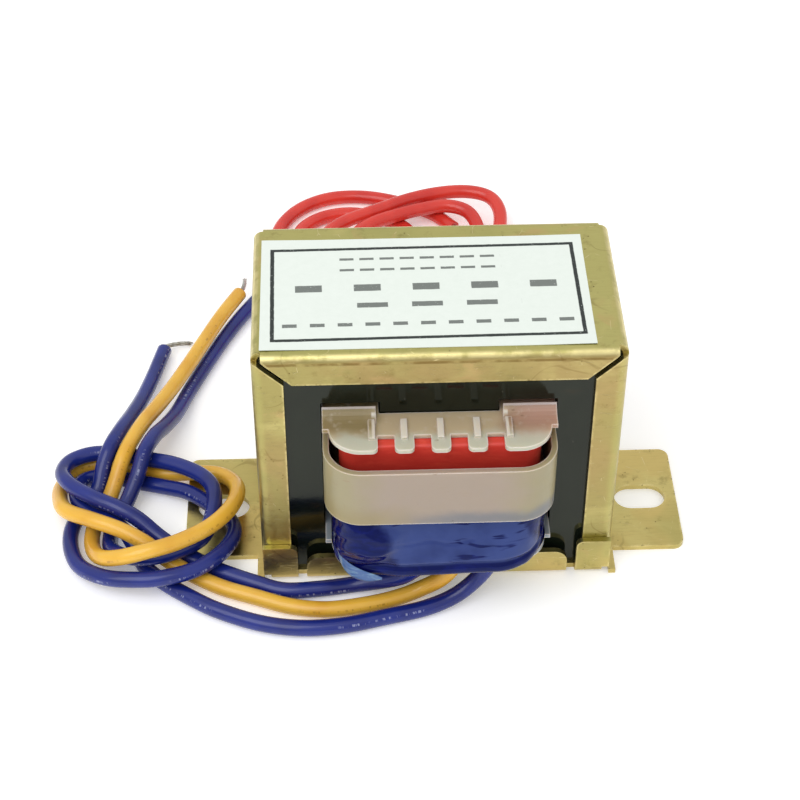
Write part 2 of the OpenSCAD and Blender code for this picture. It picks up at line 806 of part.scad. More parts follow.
// The bare end of a lead, on from the last point of its insulation
module conductor(route, tip) {
    last = len(route) - 1;
    start = route[last];
    color("#c9c7c0")
        swept_tube(concat([start, start + bare_start * heading(route, last)], tip), conductor_diameter);
}

module secondary_lead_blue_left() {
    insulation("#2d37a0", blue_left_route);
}

module secondary_lead_yellow() {
    insulation("#e1a532", yellow_route);
}

module secondary_lead_blue_right() {
    insulation("#2d37a0", blue_right_route);
}

module primary_lead_red_outer() {
    insulation("#dc372d", red_outer_route);
}

module primary_lead_red_inner() {
    insulation("#dc372d", red_inner_route);
}

module secondary_conductor_blue_left() {
    conductor(blue_left_route, blue_left_tip);
}

module secondary_conductor_yellow() {
    conductor(yellow_route, yellow_tip);
}

module secondary_conductor_blue_right() {
    conductor(blue_right_route, blue_right_tip);
}

module primary_conductor_red_outer() {
    conductor(red_outer_route, red_outer_tip);
}

module primary_conductor_red_inner() {
    conductor(red_inner_route, red_inner_tip);
}

base_plate();
upper_bracket();
e_laminations_upright();
e_laminations_inverted();
i_laminations_top();
i_laminations_bottom();
bobbin();
primary_winding();
primary_tape();
secondary_winding();
secondary_tape();
shroud_front();
shroud_rear();
label();
secondary_lead_blue_left();
secondary_lead_yellow();
secondary_lead_blue_right();
primary_lead_red_outer();
primary_lead_red_inner();
secondary_conductor_blue_left();
secondary_conductor_yellow();
secondary_conductor_blue_right();
primary_conductor_red_outer();
primary_conductor_red_inner();
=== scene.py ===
"""Looks for the laminated chassis transformer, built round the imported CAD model.

The CAD's frame is in metres: +X along the base, front at -Y, +Z up. Sizes here are written
in millimetres and turned with MM, except for the camera's and the lights' places.
"""

import json
from math import cos, pi, radians, sin

import bpy
import numpy as np
from mathutils import Matrix, Vector, noise


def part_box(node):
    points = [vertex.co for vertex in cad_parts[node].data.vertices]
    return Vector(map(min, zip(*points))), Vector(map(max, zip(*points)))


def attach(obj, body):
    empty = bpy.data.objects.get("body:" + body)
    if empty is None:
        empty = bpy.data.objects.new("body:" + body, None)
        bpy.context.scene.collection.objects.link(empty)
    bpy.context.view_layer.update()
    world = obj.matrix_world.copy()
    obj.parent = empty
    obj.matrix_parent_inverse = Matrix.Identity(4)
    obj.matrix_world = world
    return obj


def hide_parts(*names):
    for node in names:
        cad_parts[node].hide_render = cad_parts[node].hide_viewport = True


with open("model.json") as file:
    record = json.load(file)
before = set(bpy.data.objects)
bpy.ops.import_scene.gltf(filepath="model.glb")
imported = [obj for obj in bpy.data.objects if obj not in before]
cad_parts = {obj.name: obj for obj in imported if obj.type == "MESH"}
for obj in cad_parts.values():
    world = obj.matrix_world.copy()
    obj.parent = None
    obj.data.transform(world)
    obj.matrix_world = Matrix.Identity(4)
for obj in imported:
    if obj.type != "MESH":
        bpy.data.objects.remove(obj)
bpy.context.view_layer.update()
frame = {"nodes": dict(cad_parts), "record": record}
MM = 0.001
# Middle of the core, behind the line through the fixing slots
CORE_Y = 0.75


# ---------- camera ----------

LENS = 90.74
SENSOR = 36.0
CLIP = (0.01, 10)
CAMERA_PLACE = (-0.014555, -0.251433, 0.256482)
CAMERA_YAW, CAMERA_PITCH, CAMERA_ROLL = -2.004, -42.54, -0.06


def photo_camera():
    """The camera at the photograph's viewing angle."""
    data = bpy.data.cameras.new("photo_camera")
    data.sensor_width = SENSOR
    data.lens = LENS
    data.clip_start, data.clip_end = CLIP
    camera = bpy.data.objects.new("photo_camera", data)
    bpy.context.scene.collection.objects.link(camera)
    turn = (
        Matrix.Rotation(radians(CAMERA_YAW), 4, "Z")
        @ Matrix.Rotation(radians(CAMERA_PITCH), 4, "X")
        @ Matrix.Rotation(radians(CAMERA_ROLL), 4, "Y")
        @ Matrix.Rotation(pi / 2, 4, "X")
    )
    camera.matrix_world = Matrix.Translation(CAMERA_PLACE) @ turn
    bpy.context.scene.camera = camera


# ---------- meshes ----------


def add_mesh(name, points, faces, smooth=True):
    """A mesh object from points in millimetres."""
    mesh = bpy.data.meshes.new(name)
    mesh.from_pydata([tuple(p) for p in np.asarray(points, float) * MM], [], faces)
    mesh.validate()
    if smooth:
        mesh.shade_smooth()
    else:
        mesh.shade_flat()
    piece = bpy.data.objects.new(name, mesh)
    bpy.context.scene.collection.objects.link(piece)
    return piece


def settle(piece, slot_name, replaced=None, material=None):
    """Gives a piece its material and body, and hides the CAD node that it stands for."""
    piece.data.materials.append(MATERIALS[material or slot_name])
    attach(piece, "root")
    if replaced:
        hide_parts(replaced)


def point_values(piece, name, values):
    """Stores one number for each point of the mesh, for its material to read."""
    layer = piece.data.attributes.new(name, "FLOAT", "POINT")
    layer.data.foreach_set("value", np.asarray(values, np.float32))


def grid_faces(rows, columns, close_rows=False):
    """Faces between the rings of a swept surface; each ring is closed."""
    faces = []
    for i in range(rows if close_rows else rows - 1):
        here, there = i * columns, (i + 1) % rows * columns
        for k in range(columns):
            after = (k + 1) % columns
            faces.append((here + k, here + after, there + after, there + k))
    return faces


def thin_sheet(name, under, over, smooth=True):
    """A closed sheet between two grids of points, each of rows by columns by 3."""
    rows, columns = under.shape[:2]
    total = rows * columns
    faces = []
    for j in range(rows - 1):
        for i in range(columns - 1):
            a = j * columns + i
            quad = (a, a + 1, a + columns + 1, a + columns)
            faces.append(quad[::-1])
            faces.append(tuple(total + k for k in quad))
    rim = [
        *range(columns),
        *range(2 * columns - 1, total, columns),
        *range(total - 2, total - columns - 1, -1),
        *range(total - 2 * columns, 0, -columns),
    ]
    for a, b in zip(rim, rim[1:] + rim[:1]):
        faces.append((a, b, total + b, total + a))
    points = np.vstack([under.reshape(-1, 3), over.reshape(-1, 3)])
    return add_mesh(name, points, faces, smooth)


def box_mm(node):
    """Low and high corners of a CAD node, in millimetres."""
    return [np.array(corner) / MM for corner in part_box(node)]


def step_between(value, low, high):
    """0 below low and 1 above high, smooth between."""
    t = np.clip((value - low) / (high - low), 0, 1)
    return t * t * (3 - 2 * t)


# ---------- cords ----------

LEAD_DIAMETER = 2.8
INSULATION_SIDES = 20
RING_STEP = 0.7
# The cut end of the insulation: distance past the route's end and share of the radius
CUT_STEPS = ((0.04, 0.985), (0.07, 0.93))
HOLE_SHARE = 0.48
HOLE_DEPTH = 0.8

STRAND_COUNT = 7
STRAND_SIDES = 8
STRAND_RADIUS = 0.155
# From the middle strand to those round it
STRAND_REACH = 2.02 * STRAND_RADIUS
STRAND_STEP = 0.25
TWIST_LENGTH = 9.0
# How far the strands start inside the insulation, and run straight out of it
BARE_INSIDE, BARE_START = 0.6, 1.0
# How much wider the twist is at its tip, and the length over which it opens
FLARE, FLARE_LENGTH = 0.35, 2.0
TIP_SHARE = 0.6

CURVE_STEPS = 24


def smooth_line(points, step):
    """Points a step apart along a Catmull-Rom curve through the given points."""
    p = np.array(points, float)
    p = np.vstack([2 * p[0] - p[1], p, 2 * p[-1] - p[-2]])
    t = np.linspace(0, 1, CURVE_STEPS, endpoint=False)[:, None]
    dense = []
    for a, b, c, d in zip(p[:-3], p[1:-2], p[2:-1], p[3:]):
        square = (2 * a - 5 * b + 4 * c - d) * t**2
        cube = (3 * b - a - 3 * c + d) * t**3
        dense.append(0.5 * (2 * b + (c - a) * t + square + cube))
    dense = np.vstack([*dense, p[-2][None]])
    along = np.r_[0, np.cumsum(np.linalg.norm(np.diff(dense, axis=0), axis=1))]
    count = max(2, round(along[-1] / step) + 1)
    even = np.linspace(0, along[-1], count)
    return np.column_stack([np.interp(even, along, dense[:, i]) for i in range(3)])


def frames_along(line):
    """Sideways and upward unit vectors at each point of a line, without twist."""
    heading = np.gradient(line, axis=0)
    heading /= np.linalg.norm(heading, axis=1)[:, None]
    side = np.zeros_like(line)
    last = np.array([0, 0, 1.0]) if abs(heading[0][2]) < 0.9 else np.array([1.0, 0, 0])
    for i, ahead in enumerate(heading):
        rest = last - (last @ ahead) * ahead
        last = side[i] = rest / np.linalg.norm(rest)
    return side, np.cross(heading, side)


def tube(line, radii, sides):
    """Points and faces of a closed tube along a line."""
    side, up = frames_along(line)
    angle = np.linspace(0, 2 * pi, sides, endpoint=False)[None, :, None]
    across = np.cos(angle) * side[:, None, :] + np.sin(angle) * up[:, None, :]
    points = line[:, None, :] + np.asarray(radii)[:, None, None] * across
    faces = grid_faces(len(line), sides)
    last = (len(line) - 1) * sides
    faces.append(tuple(range(sides))[::-1])
    faces.append(tuple(last + k for k in range(sides)))
    return points.reshape(-1, 3), faces


def insulation(name, route, replaced, slot_name):
    """The coloured tube of a lead, with a cut end that the conductor comes out of."""
    line = smooth_line(route, RING_STEP)
    end, ahead = line[-1], line[-1] - line[-2]
    ahead /= np.linalg.norm(ahead)
    radius = LEAD_DIAMETER / 2
    shape = np.vstack([line, *[end + ahead * out for out, _ in CUT_STEPS]])
    radii = np.r_[np.full(len(line), radius), [share * radius for _, share in CUT_STEPS]]
    points, faces = tube(shape, radii, INSULATION_SIDES)
    # the far cap becomes a ring, a hole and the bottom of the hole
    faces.pop()
    start = len(points) - INSULATION_SIDES
    rim = points[start:]
    spokes = rim - rim.mean(axis=0)
    spokes *= HOLE_SHARE * radius / np.linalg.norm(spokes, axis=1)[:, None]
    inner = rim.mean(axis=0) + spokes
    points = np.vstack([points, inner, inner - ahead * HOLE_DEPTH])
    for face in grid_faces(3, INSULATION_SIDES):
        faces.append(tuple(start + k for k in face))
    faces.append(tuple(range(start + 2 * INSULATION_SIDES, start + 3 * INSULATION_SIDES)))
    piece = add_mesh(name, points, faces)
    along = np.r_[np.arange(len(shape)) * RING_STEP, [len(shape) * RING_STEP] * 2]
    point_values(piece, "along", np.repeat(along, INSULATION_SIDES))
    turn = np.linspace(0, 1, INSULATION_SIDES, endpoint=False)
    point_values(piece, "around", np.tile(np.abs(turn - 0.5), len(along)))
    settle(piece, slot_name, replaced)
    return piece, line


def conductor(name, route, tip, replaced):
    """The stripped end: a twist of tinned strands that opens a little at the tip."""
    start = np.array(route[-1], float)
    ahead = start - smooth_line(route, RING_STEP)[-2]
    ahead /= np.linalg.norm(ahead)
    stem = [start - ahead * BARE_INSIDE, start, start + ahead * BARE_START, *tip]
    line = smooth_line(stem, STRAND_STEP)
    side, up = frames_along(line)
    along = np.arange(len(line)) * STRAND_STEP
    flare = np.clip((along - along[-1] + FLARE_LENGTH) / FLARE_LENGTH, 0, 1) ** 2
    points, faces = [], []
    for strand in range(STRAND_COUNT):
        angle = 2 * pi * (strand / (STRAND_COUNT - 1) + along / TWIST_LENGTH)
        # the first strand is the middle one, and no two of them end together
        reach = STRAND_REACH * (1 + FLARE * flare) if strand else 0 * flare
        turned = np.cos(angle)[:, None] * side + np.sin(angle)[:, None] * up
        path = (line + reach[:, None] * turned)[:len(line) - 1 - strand * 3 % 5]
        radii = np.full(len(path), STRAND_RADIUS)
        radii[-1] *= TIP_SHARE
        strand_points, strand_faces = tube(path, radii, STRAND_SIDES)
        faces += [tuple(len(points) + k for k in face) for face in strand_faces]
        points += list(strand_points)
    piece = add_mesh(name, points, faces)
    settle(piece, "tinned_copper", replaced)
    return piece


# Where the leads come out of the coils, in millimetres
SECONDARY_EXIT_Y = -22.0
SECONDARY_EXIT_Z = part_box("secondary_winding")[0].z / MM
INNER_EXIT_X = 2.9
OUTER_EXIT_X = 8.7
PRIMARY_EXIT_X = 4.5
PRIMARY_EXIT_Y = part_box("primary_tape")[1].y / MM
PRIMARY_EXIT_Z = 31.9

# Each lead: its route in millimetres, as in the CAD source, from the coil to the end
# of the insulation, and then the bare end
BLUE_LEFT_ROUTE = [
    [OUTER_EXIT_X, SECONDARY_EXIT_Y, SECONDARY_EXIT_Z], [OUTER_EXIT_X, SECONDARY_EXIT_Y, 8.8],
    [6.3, -22.5, 5], [2.5, -23.8, 2.3], [-2.5, -25.6, 1.5], [-9, -27.3, 1.5], [-16, -28.9, 1.5],
    [-23, -29.3, 1.5], [-30, -28, 1.5], [-37, -25, 1.5], [-42, -21.8, 1.5], [-46.4, -18.4, 1.5],
    [-49.8, -14.8, 1.5], [-51.6, -11, 1.7], [-53.6, -8.2, 3.7], [-56.5, -6.3, 4.6],
    [-59.3, -4.8, 4.5], [-61.6, -2.4, 4.4], [-62.6, 0.4, 4.2], [-62.9, 3.8, 2.8],
    [-61.6, 7, 1.6], [-57.8, 7.7, 1.5], [-52.5, 6.1, 1.5], [-47.5, 4.3, 1.9], [-43, 2, 2.6],
    [-38.5, -1.8, 2.6], [-35.4, -5.5, 2.7], [-34.9, -9.8, 3.5], [-37, -14.9, 4.6],
    [-41, -18.4, 4.7], [-46, -20, 4.6], [-51, -20, 4.2], [-56.6, -18.4, 3.3], [-61.2, -14.4, 2],
    [-63.2, -9, 1.5], [-63, -4, 1.5], [-60.8, 0, 1.5], [-59.2, 3.4, 2.8], [-58.2, 6.6, 5.6],
    [-57, 9.5, 7.3], [-55.6, 14, 6.9], [-54, 20.5, 4.9], [-52.6, 27, 3.1], [-51.2, 34, 2],
    [-49.6, 42, 1.5],
]
BLUE_LEFT_TIP = [[-47.4, 44, 1.2], [-44, 44.9, 0.6]]
YELLOW_ROUTE = [
    [INNER_EXIT_X, SECONDARY_EXIT_Y, SECONDARY_EXIT_Z], [INNER_EXIT_X, SECONDARY_EXIT_Y, 8.8],
    [0.6, -22, 5], [-3.2, -21.9, 2.2], [-7.5, -23.2, 1.5], [-13, -24.6, 1.5], [-19, -25.3, 1.5],
    [-25, -24.4, 1.5], [-31, -22.1, 1.5], [-37, -19.6, 1.5], [-42.6, -16.2, 1.7],
    [-46.2, -13.8, 2.4], [-49.8, -12.1, 4.8], [-54, -10.2, 6.2], [-59.3, -7.8, 6.5],
    [-63.7, -4.8, 5.6], [-65.5, -0.4, 3.8], [-65.8, 5, 1.9], [-63.2, 9.9, 1.5], [-58, 11, 1.5],
    [-52, 9.1, 1.5], [-47, 7.7, 1.9], [-42.5, 7, 2.6], [-38, 6.5, 2.6], [-35, 3, 3.8],
    [-34.3, -2.5, 6.2], [-35.7, -8, 7.9], [-39, -12, 8.1], [-44, -15.2, 8.1], [-49, -17, 8],
    [-53.6, -17, 6.6], [-57.3, -14.8, 4.4], [-59.3, -10, 2], [-59.4, -4.8, 1.5],
    [-57.8, -0.8, 1.8], [-56.2, 3, 4], [-54.6, 7, 7], [-53.1, 11.5, 7.4], [-51.4, 16.5, 6.8],
    [-49.4, 21.5, 5.8], [-46.8, 28, 4.9], [-44.2, 34.5, 4.6], [-41.5, 41.5, 4.4], [-38.6, 49, 4],
    [-35.4, 56, 3.6],
]
YELLOW_TIP = [[-34.6, 59.6, 2.8], [-34.6, 63.4, 1.4]]
BLUE_RIGHT_ROUTE = [
    [-INNER_EXIT_X, SECONDARY_EXIT_Y, SECONDARY_EXIT_Z], [-INNER_EXIT_X, SECONDARY_EXIT_Y, 8.8],
    [-5.5, -21.4, 5.3], [-9, -20.6, 3.2], [-14, -19.8, 1.5], [-20, -20.6, 1.5],
    [-26, -20.8, 1.5], [-31, -18.9, 1.5], [-38, -15.4, 1.5], [-43.4, -12.2, 2.2],
    [-47.5, -9.5, 3.4], [-51.2, -7.2, 5.6], [-54.5, -5.8, 7], [-58, -4, 7.3], [-61.3, -1.8, 7.3],
    [-63.9, 1, 6.8], [-65.3, 4.8, 5.6], [-64.2, 8.6, 4.7], [-60.3, 10.7, 4.4], [-55, 10.2, 4.4],
    [-50, 8.8, 4.4], [-45.5, 6.8, 5], [-41, 3.8, 5.3], [-38.6, 0, 5.6], [-38.4, -5.5, 5.5],
    [-40, -11, 4.9], [-44, -14.4, 5.2], [-48.5, -15.8, 5.2], [-52.8, -15, 4.6],
    [-55.7, -11.6, 2.8], [-56.4, -7.5, 1.5], [-55.8, -3.5, 1.5], [-54, 0, 2.6], [-52.2, 4, 5],
    [-50.9, 8, 7.2], [-49.4, 12.5, 6.8], [-47.8, 17, 5], [-46.2, 22.5, 3], [-44.4, 29.5, 1.7],
    [-41.4, 37.5, 1.5], [-38, 45.5, 1.5], [-34.4, 52.5, 1.5], [-30.8, 57.8, 1.5], [-26, 60, 1.5],
]
BLUE_RIGHT_TIP = [[-23, 59, 1.4], [-19, 56.4, 0.8]]
RED_OUTER_ROUTE = [
    [-PRIMARY_EXIT_X, PRIMARY_EXIT_Y, PRIMARY_EXIT_Z],
    [-4.5, 29, 31.9], [-5.6, 35.5, 29.9], [-9, 44, 22.5], [-11.5, 49.5, 16], [-14, 55, 10],
    [-17, 61.5, 5.9], [-18.7, 68, 4.6], [-17.8, 73.6, 4.4], [-14.2, 77.5, 4.4], [-8, 80.9, 4.4],
    [-1, 84.5, 4.4], [5.4, 86.5, 4.4], [11.4, 86.8, 4.4], [15.8, 85, 4.2], [17.6, 80.8, 3.6],
    [17, 75, 2.4], [14.5, 68.5, 1.5], [8.5, 63, 1.5], [1, 60.8, 1.5], [-8, 60.3, 1.5],
    [-17, 61.2, 1.5], [-24, 65.5, 1.5], [-28, 72, 1.5], [-27.8, 79, 1.5], [-24, 85.3, 1.5],
    [-18, 89, 1.5], [-11, 89.6, 1.5], [-4, 87.7, 1.5], [3.5, 83.6, 1.5], [8, 78.4, 1.5],
]
RED_OUTER_TIP = [[8.6, 75, 1.2], [7.8, 71.6, 0.7]]
RED_INNER_ROUTE = [
    [PRIMARY_EXIT_X, PRIMARY_EXIT_Y, PRIMARY_EXIT_Z],
    [4.5, 29, 31.9], [3.3, 35.5, 29.9], [-0.5, 44, 22.5], [-3.5, 49.5, 16], [-6.5, 55, 10],
    [-9.8, 61.5, 5.9], [-12.2, 68, 4.6], [-12, 73, 4.4], [-9, 76.5, 4.4], [-4.3, 79, 4.4],
    [2, 81.3, 4.4], [7, 82, 4.4], [11, 80.2, 4.1], [12.8, 76, 3.1], [12.2, 71.3, 2],
    [8.8, 67, 1.5], [2.5, 64.5, 1.5], [-5, 64, 1.5], [-13, 64.4, 1.5], [-19.8, 67, 1.5],
    [-23.6, 72, 1.5], [-23.6, 77.8, 1.5], [-20, 82, 1.5], [-14.5, 83.8, 1.5], [-8.5, 82.8, 1.5],
    [-3, 79.6, 1.5], [0.5, 74.5, 1.5],
]
RED_INNER_TIP = [[0.6, 71, 1.2], [-0.8, 67.8, 0.7]]

# Coil, place, route and bare end of each lead
LEADS = (
    ("secondary", "blue_left", BLUE_LEFT_ROUTE, BLUE_LEFT_TIP),
    ("secondary", "yellow", YELLOW_ROUTE, YELLOW_TIP),
    ("secondary", "blue_right", BLUE_RIGHT_ROUTE, BLUE_RIGHT_TIP),
    ("primary", "red_outer", RED_OUTER_ROUTE, RED_OUTER_TIP),
    ("primary", "red_inner", RED_INNER_ROUTE, RED_INNER_TIP),
)


def lead(group, place, route, tip):
    """One lead with its bare end."""
    bare = f"{group}_conductor_{place}"
    tin = conductor(f"{bare}_strands", route, tip, bare)
    covered = f"{group}_lead_{place}"
    slot_name = place.split("_")[0] + "_insulation"
    piece, line = insulation(f"{covered}_insulation", route, covered, slot_name)


# ---------- materials ----------

# Places that marks keep to, in millimetres: bends of the bracket's top and sides, tops of the
# feet, flanges and painted rib highlights of the bobbin, and the level of its painted blue-grey
# shade
BEND_MARK_Z = 48.25
SIDE_BEND_X = (27.6, 28.8)
FOOT_Z = (3.0, 5.0)
FOOT_FADE_Z = (9.0, 3.0)
WING_Y = (19.5, 22.5)
RIB_Z, RIB_HALF_X = 37.3, 11.0
LOW_SHADE_Z = (14.0, 12.5)

# How alike a rounded and a flat normal are on a flat face and on an edge
EDGE_LIKENESS = (0.985, 0.86)

# Film: relief, slant of its creases, and the painted reflection of the white floor over the pad:
# its sides, the lean of its sides about a height, and its lower edge, which rises to the right
FILM_RELIEF = 0.03
FILM_SLANT = 0.35
PALE_LEFT, PALE_RIGHT = (-8.8, -7.0), (16.4, 15.0)
PALE_LEAN, PALE_LEAN_Z = 0.35, 16.0
PALE_BOTTOM = (12.4, 13.2)
PAD_SLOPE = 0.035

# The label's black frame
LABEL_TURN = 0.5
FRAME_MIDDLE = (0.1, -0.04)
FRAME_HALF = (25.0, 11.67)
FRAME_LINE = 0.65
INK_BLUR = 0.06
# Rows of plain dashes where the print was: place, half height, start, dash, pitch, count
LABEL_ROWS = (
    (8.6, 0.3, -13.6, 2.4, 3.3, 8),
    (5.8, 0.3, -13.6, 2.4, 3.3, 8),
    (1.2, 0.85, -20.9, 4.4, 9.5, 5),
    (-3.2, 0.6, -11.0, 5.0, 8.8, 3),
    (-7.9, 0.42, -23.0, 2.4, 4.4, 11),
)
DASH_BLUR = 0.1
# How black the dashes are
DASH_SHARE = 0.8

# Where the worn print runs, as a share of a turn from the lead's half-way line
PRINT_PLACE = 0.2


def rgb(red, green, blue):
    """A linear colour from three display values of 0 to 255."""
    linear = [
        v / 12.92 if v <= 0.04045 else ((v + 0.055) / 1.055) ** 2.4
        for v in (red / 255, green / 255, blue / 255)
    ]
    return (*linear, 1)


class Shader:
    """A node material on one Principled shader, in millimetres of the CAD's frame."""

    def __init__(self, name, colour, **sockets):
        """Starts from a plain colour; sockets are named with _ for each space."""
        self.material = bpy.data.materials.new(name)
        self.material.use_nodes = True
        self.tree = self.material.node_tree
        self.tree.nodes.clear()
        output = self.tree.nodes.new("ShaderNodeOutputMaterial")
        self.principled = self.tree.nodes.new("ShaderNodeBsdfPrincipled")
        self.tree.links.new(self.principled.outputs[0], output.inputs[0])
        for socket, value in sockets.items():
            self.set(socket.replace("_", " "), value)
        place = self.tree.nodes.new("ShaderNodeTexCoord").outputs["Object"]
        scaled = self.node("ShaderNodeVectorMath", place, operation="SCALE")
        scaled.inputs["Scale"].default_value = 1 / MM
        self.mm = scaled.outputs[0]
        self.colour = colour
        self.height = None

    def set(self, socket, value):
        """Gives a socket of the Principled shader a number, colour or link."""
        self.feed(self.principled.inputs[socket], value)

    def feed(self, socket, value):
        """Links another node's socket, or sets a constant."""
        if isinstance(value, bpy.types.NodeSocket):
            self.tree.links.new(value, socket)
        else:
            socket.default_value = value

    def node(self, kind, *values, **settings):
        """A new node with its settings and its first inputs."""
        made = self.tree.nodes.new(kind)
        for key, value in settings.items():
            setattr(made, key, value)
        for socket, value in zip(made.inputs, values):
            self.feed(socket, value)
        return made

    def math(self, operation, *values):
        """The result of a maths node."""
        return self.node("ShaderNodeMath", *values, operation=operation).outputs[0]

    def product(self, first, *others):
        """Numbers and sockets multiplied together."""
        for other in others:
            first = self.math("MULTIPLY", first, other)
        return first

    def off(self, value, place):
        """How far a value is from a place."""
        return self.math("ABSOLUTE", self.math("SUBTRACT", value, place))

    def stretched(self, x, y, z, turn=0.0):
        """Coordinates that make a pattern longer or shorter along each axis."""
        made = self.node("ShaderNodeMapping", self.mm)
        made.inputs["Rotation"].default_value = (0, turn, 0)
        made.inputs["Scale"].default_value = (x, y, z)
        return made.outputs[0]

    def noise(self, scale, detail=3.0, roughness=0.55, at=None, distortion=0.0):
        """Soft noise of 0 to 1; scale is in waves to the millimetre."""
        made = self.node("ShaderNodeTexNoise")
        self.feed(made.inputs["Vector"], at or self.mm)
        made.inputs["Scale"].default_value = scale
        made.inputs["Detail"].default_value = detail
        made.inputs["Roughness"].default_value = roughness
        made.inputs["Distortion"].default_value = distortion
        return made.outputs["Fac"]

    def ripple(self, scale, reach):
        """Soft noise about 0, in millimetres, that makes a border wander."""
        return self.product(self.math("SUBTRACT", self.noise(scale), 0.5), reach)

    def moved(self, value, ripple, share=1.0):
        """A coordinate with a share of a ripple added."""
        return self.math("ADD", value, self.product(ripple, share))

    def cells(self, scale, at=None, feature="F1"):
        """Distance to the nearest point, or the nearest border, of a cell pattern."""
        made = self.node("ShaderNodeTexVoronoi", feature=feature)
        self.feed(made.inputs["Vector"], at or self.mm)
        made.inputs["Scale"].default_value = scale
        return made.outputs["Distance"]

    def band(self, value, low, high):
        """0 below low and 1 above high, smooth between; low may be above high."""
        made = self.node(
            "ShaderNodeMapRange", value, low, high, interpolation_type="SMOOTHSTEP"
        )
        return made.outputs[0]

    def patches(self, low, high, *pattern, **settings):
        """Patches of soft noise, 0 where it is under low and 1 where it is over high."""
        return self.band(self.noise(*pattern, **settings), low, high)

    def mix(self, share, a, b):
        """One colour over another by a share."""
        made = self.node("ShaderNodeMix", data_type="RGBA")
        self.feed(made.inputs["Factor"], share)
        self.feed(made.inputs["A"], a)
        self.feed(made.inputs["B"], b)
        return made.outputs["Result"]

    def paint(self, colour, *shares):
        """Lays a colour over the surface's colour by the product of the shares."""
        self.colour = self.mix(self.product(*shares), self.colour, colour)

    def axis(self, name):
        """One coordinate, in millimetres."""
        return self.node("ShaderNodeSeparateXYZ", self.mm).outputs[name]

    def value(self, name):
        """A number stored on the mesh's points."""
        return self.node("ShaderNodeAttribute", attribute_name=name).outputs["Fac"]

    def edges(self, width):
        """1 along sharp edges and 0 on flat faces."""
        rounded = self.node("ShaderNodeBevel", width * MM, samples=4).outputs[0]
        flat = self.node("ShaderNodeNewGeometry").outputs["Normal"]
        alike = self.node("ShaderNodeVectorMath", rounded, flat, operation="DOT_PRODUCT")
        return self.band(alike.outputs["Value"], *EDGE_LIKENESS)

    def roughness(self, low, reach, *pattern):
        """Roughness that wanders from low to low + reach."""
        wander = self.product(self.noise(*pattern), reach)
        self.set("Roughness", self.math("ADD", wander, low))

    def bump(self, height, depth):
        """Adds a height in millimetres to the surface's relief."""
        height = self.product(height, depth * MM)
        self.height = height if self.height is None else self.math("ADD", self.height, height)

    def done(self):
        """Links the colour and the relief, and gives back the material."""
        self.set("Base Color", self.colour)
        made = self.node("ShaderNodeBump")
        made.inputs["Strength"].default_value = 1.0
        made.inputs["Distance"].default_value = 1.0
        self.feed(made.inputs["Height"], self.height)
        self.set("Normal", made.outputs[0])
        return self.material


def plated_steel():
    """Steel sheet with yellow passivated zinc: olive gold, with stains and scratches."""
    s = Shader("plated_steel", rgb(172, 151, 99), Metallic=1.0)
    normal = s.node("ShaderNodeNewGeometry").outputs["Normal"]
    up = s.node("ShaderNodeSeparateXYZ", normal).outputs["Z"]
    # painted reflection: faces that look up are painted lighter and greener, as the bright
    # surround above lights them; yellower feet, and olive bends down the bracket's sides
    s.paint(rgb(188, 181, 114), s.band(up, 0.3, 0.95))
    s.paint(rgb(206, 184, 116), s.band(s.axis("Z"), *FOOT_FADE_Z))
    beside = s.band(s.math("ABSOLUTE", s.axis("X")), *SIDE_BEND_X)
    s.paint(rgb(188, 180, 112), beside, s.band(s.axis("Z"), *FOOT_Z), 0.6)
    # the wandering colours of the passivated zinc
    s.paint(rgb(162, 160, 96), s.patches(0.4, 0.7, 0.06, 2.0, distortion=0.6), 0.5)
    s.paint(rgb(208, 196, 128), s.patches(0.5, 0.7, 0.045, 4.0, 0.6, distortion=1.2), 0.55)
    blush = s.patches(0.56, 0.74, 0.12, distortion=0.8, at=s.stretched(1, 1, 1.7))
    s.paint(rgb(204, 168, 118), blush, 0.4)
    drawn = s.patches(0.45, 0.8, 1.0, 4.0, 0.7, at=s.stretched(0.25, 3.0, 3.0))
    s.paint(rgb(146, 128, 74), drawn, 0.22)
    # dull worn patches, fine scratches and dark specks
    s.paint(rgb(128, 112, 62), s.patches(0.54, 0.72, 0.3, 6.0, 0.7), 0.45)
    scratch = s.cells(0.16, at=s.stretched(1, 1, 6, turn=0.5), feature="DISTANCE_TO_EDGE")
    scratch = s.product(s.band(scratch, 0.012, 0.002), s.patches(0.52, 0.6, 0.5))
    s.paint(rgb(236, 222, 172), scratch, 0.45)
    speck = s.band(s.cells(0.9), 0.17, 0.07)
    s.paint(rgb(84, 66, 36), speck, s.patches(0.54, 0.62, 0.3), 0.8)
    # long curved drag marks, along one level of a slow pattern
    drag = s.band(s.off(s.noise(0.07, 1.0, distortion=0.3), 0.5), 0.008, 0.002)
    dragged = s.patches(0.5, 0.6, 0.09, 1.0, at=s.stretched(1, 1, 1, turn=0.7))
    s.paint(rgb(122, 102, 56), drag, dragged, 0.35)
    # the brake's broken mark under the bends of the top edges
    mark = s.band(s.off(s.axis("Z"), BEND_MARK_Z), 0.4, 0.1)
    s.paint(rgb(108, 84, 38), mark, s.patches(0.3, 0.55, 0.35, 4.0), 0.7)
    # painted highlights on the bends and along the edges, and soil along the edges
    bend_highlight = s.product(s.band(up, 0.35, 0.6), s.band(up, 0.99, 0.85))
    s.paint(rgb(238, 224, 164), bend_highlight, s.patches(0.3, 0.55, 0.3, 4.0), 0.6)
    edge = s.edges(0.7)
    s.paint(rgb(236, 220, 158), edge, s.patches(0.35, 0.6, 0.6), 0.75)
    s.paint(rgb(96, 76, 40), edge, s.patches(0.6, 0.68, 1.1, 4.0), 0.8)
    s.roughness(0.22, 0.26, 0.5, 5.0)
    s.bump(s.noise(2.2, at=s.stretched(0.4, 1.5, 1.5)), 0.012)
    s.bump(s.noise(0.2), 0.1)
    s.bump(scratch, -0.02)
    return s.done()


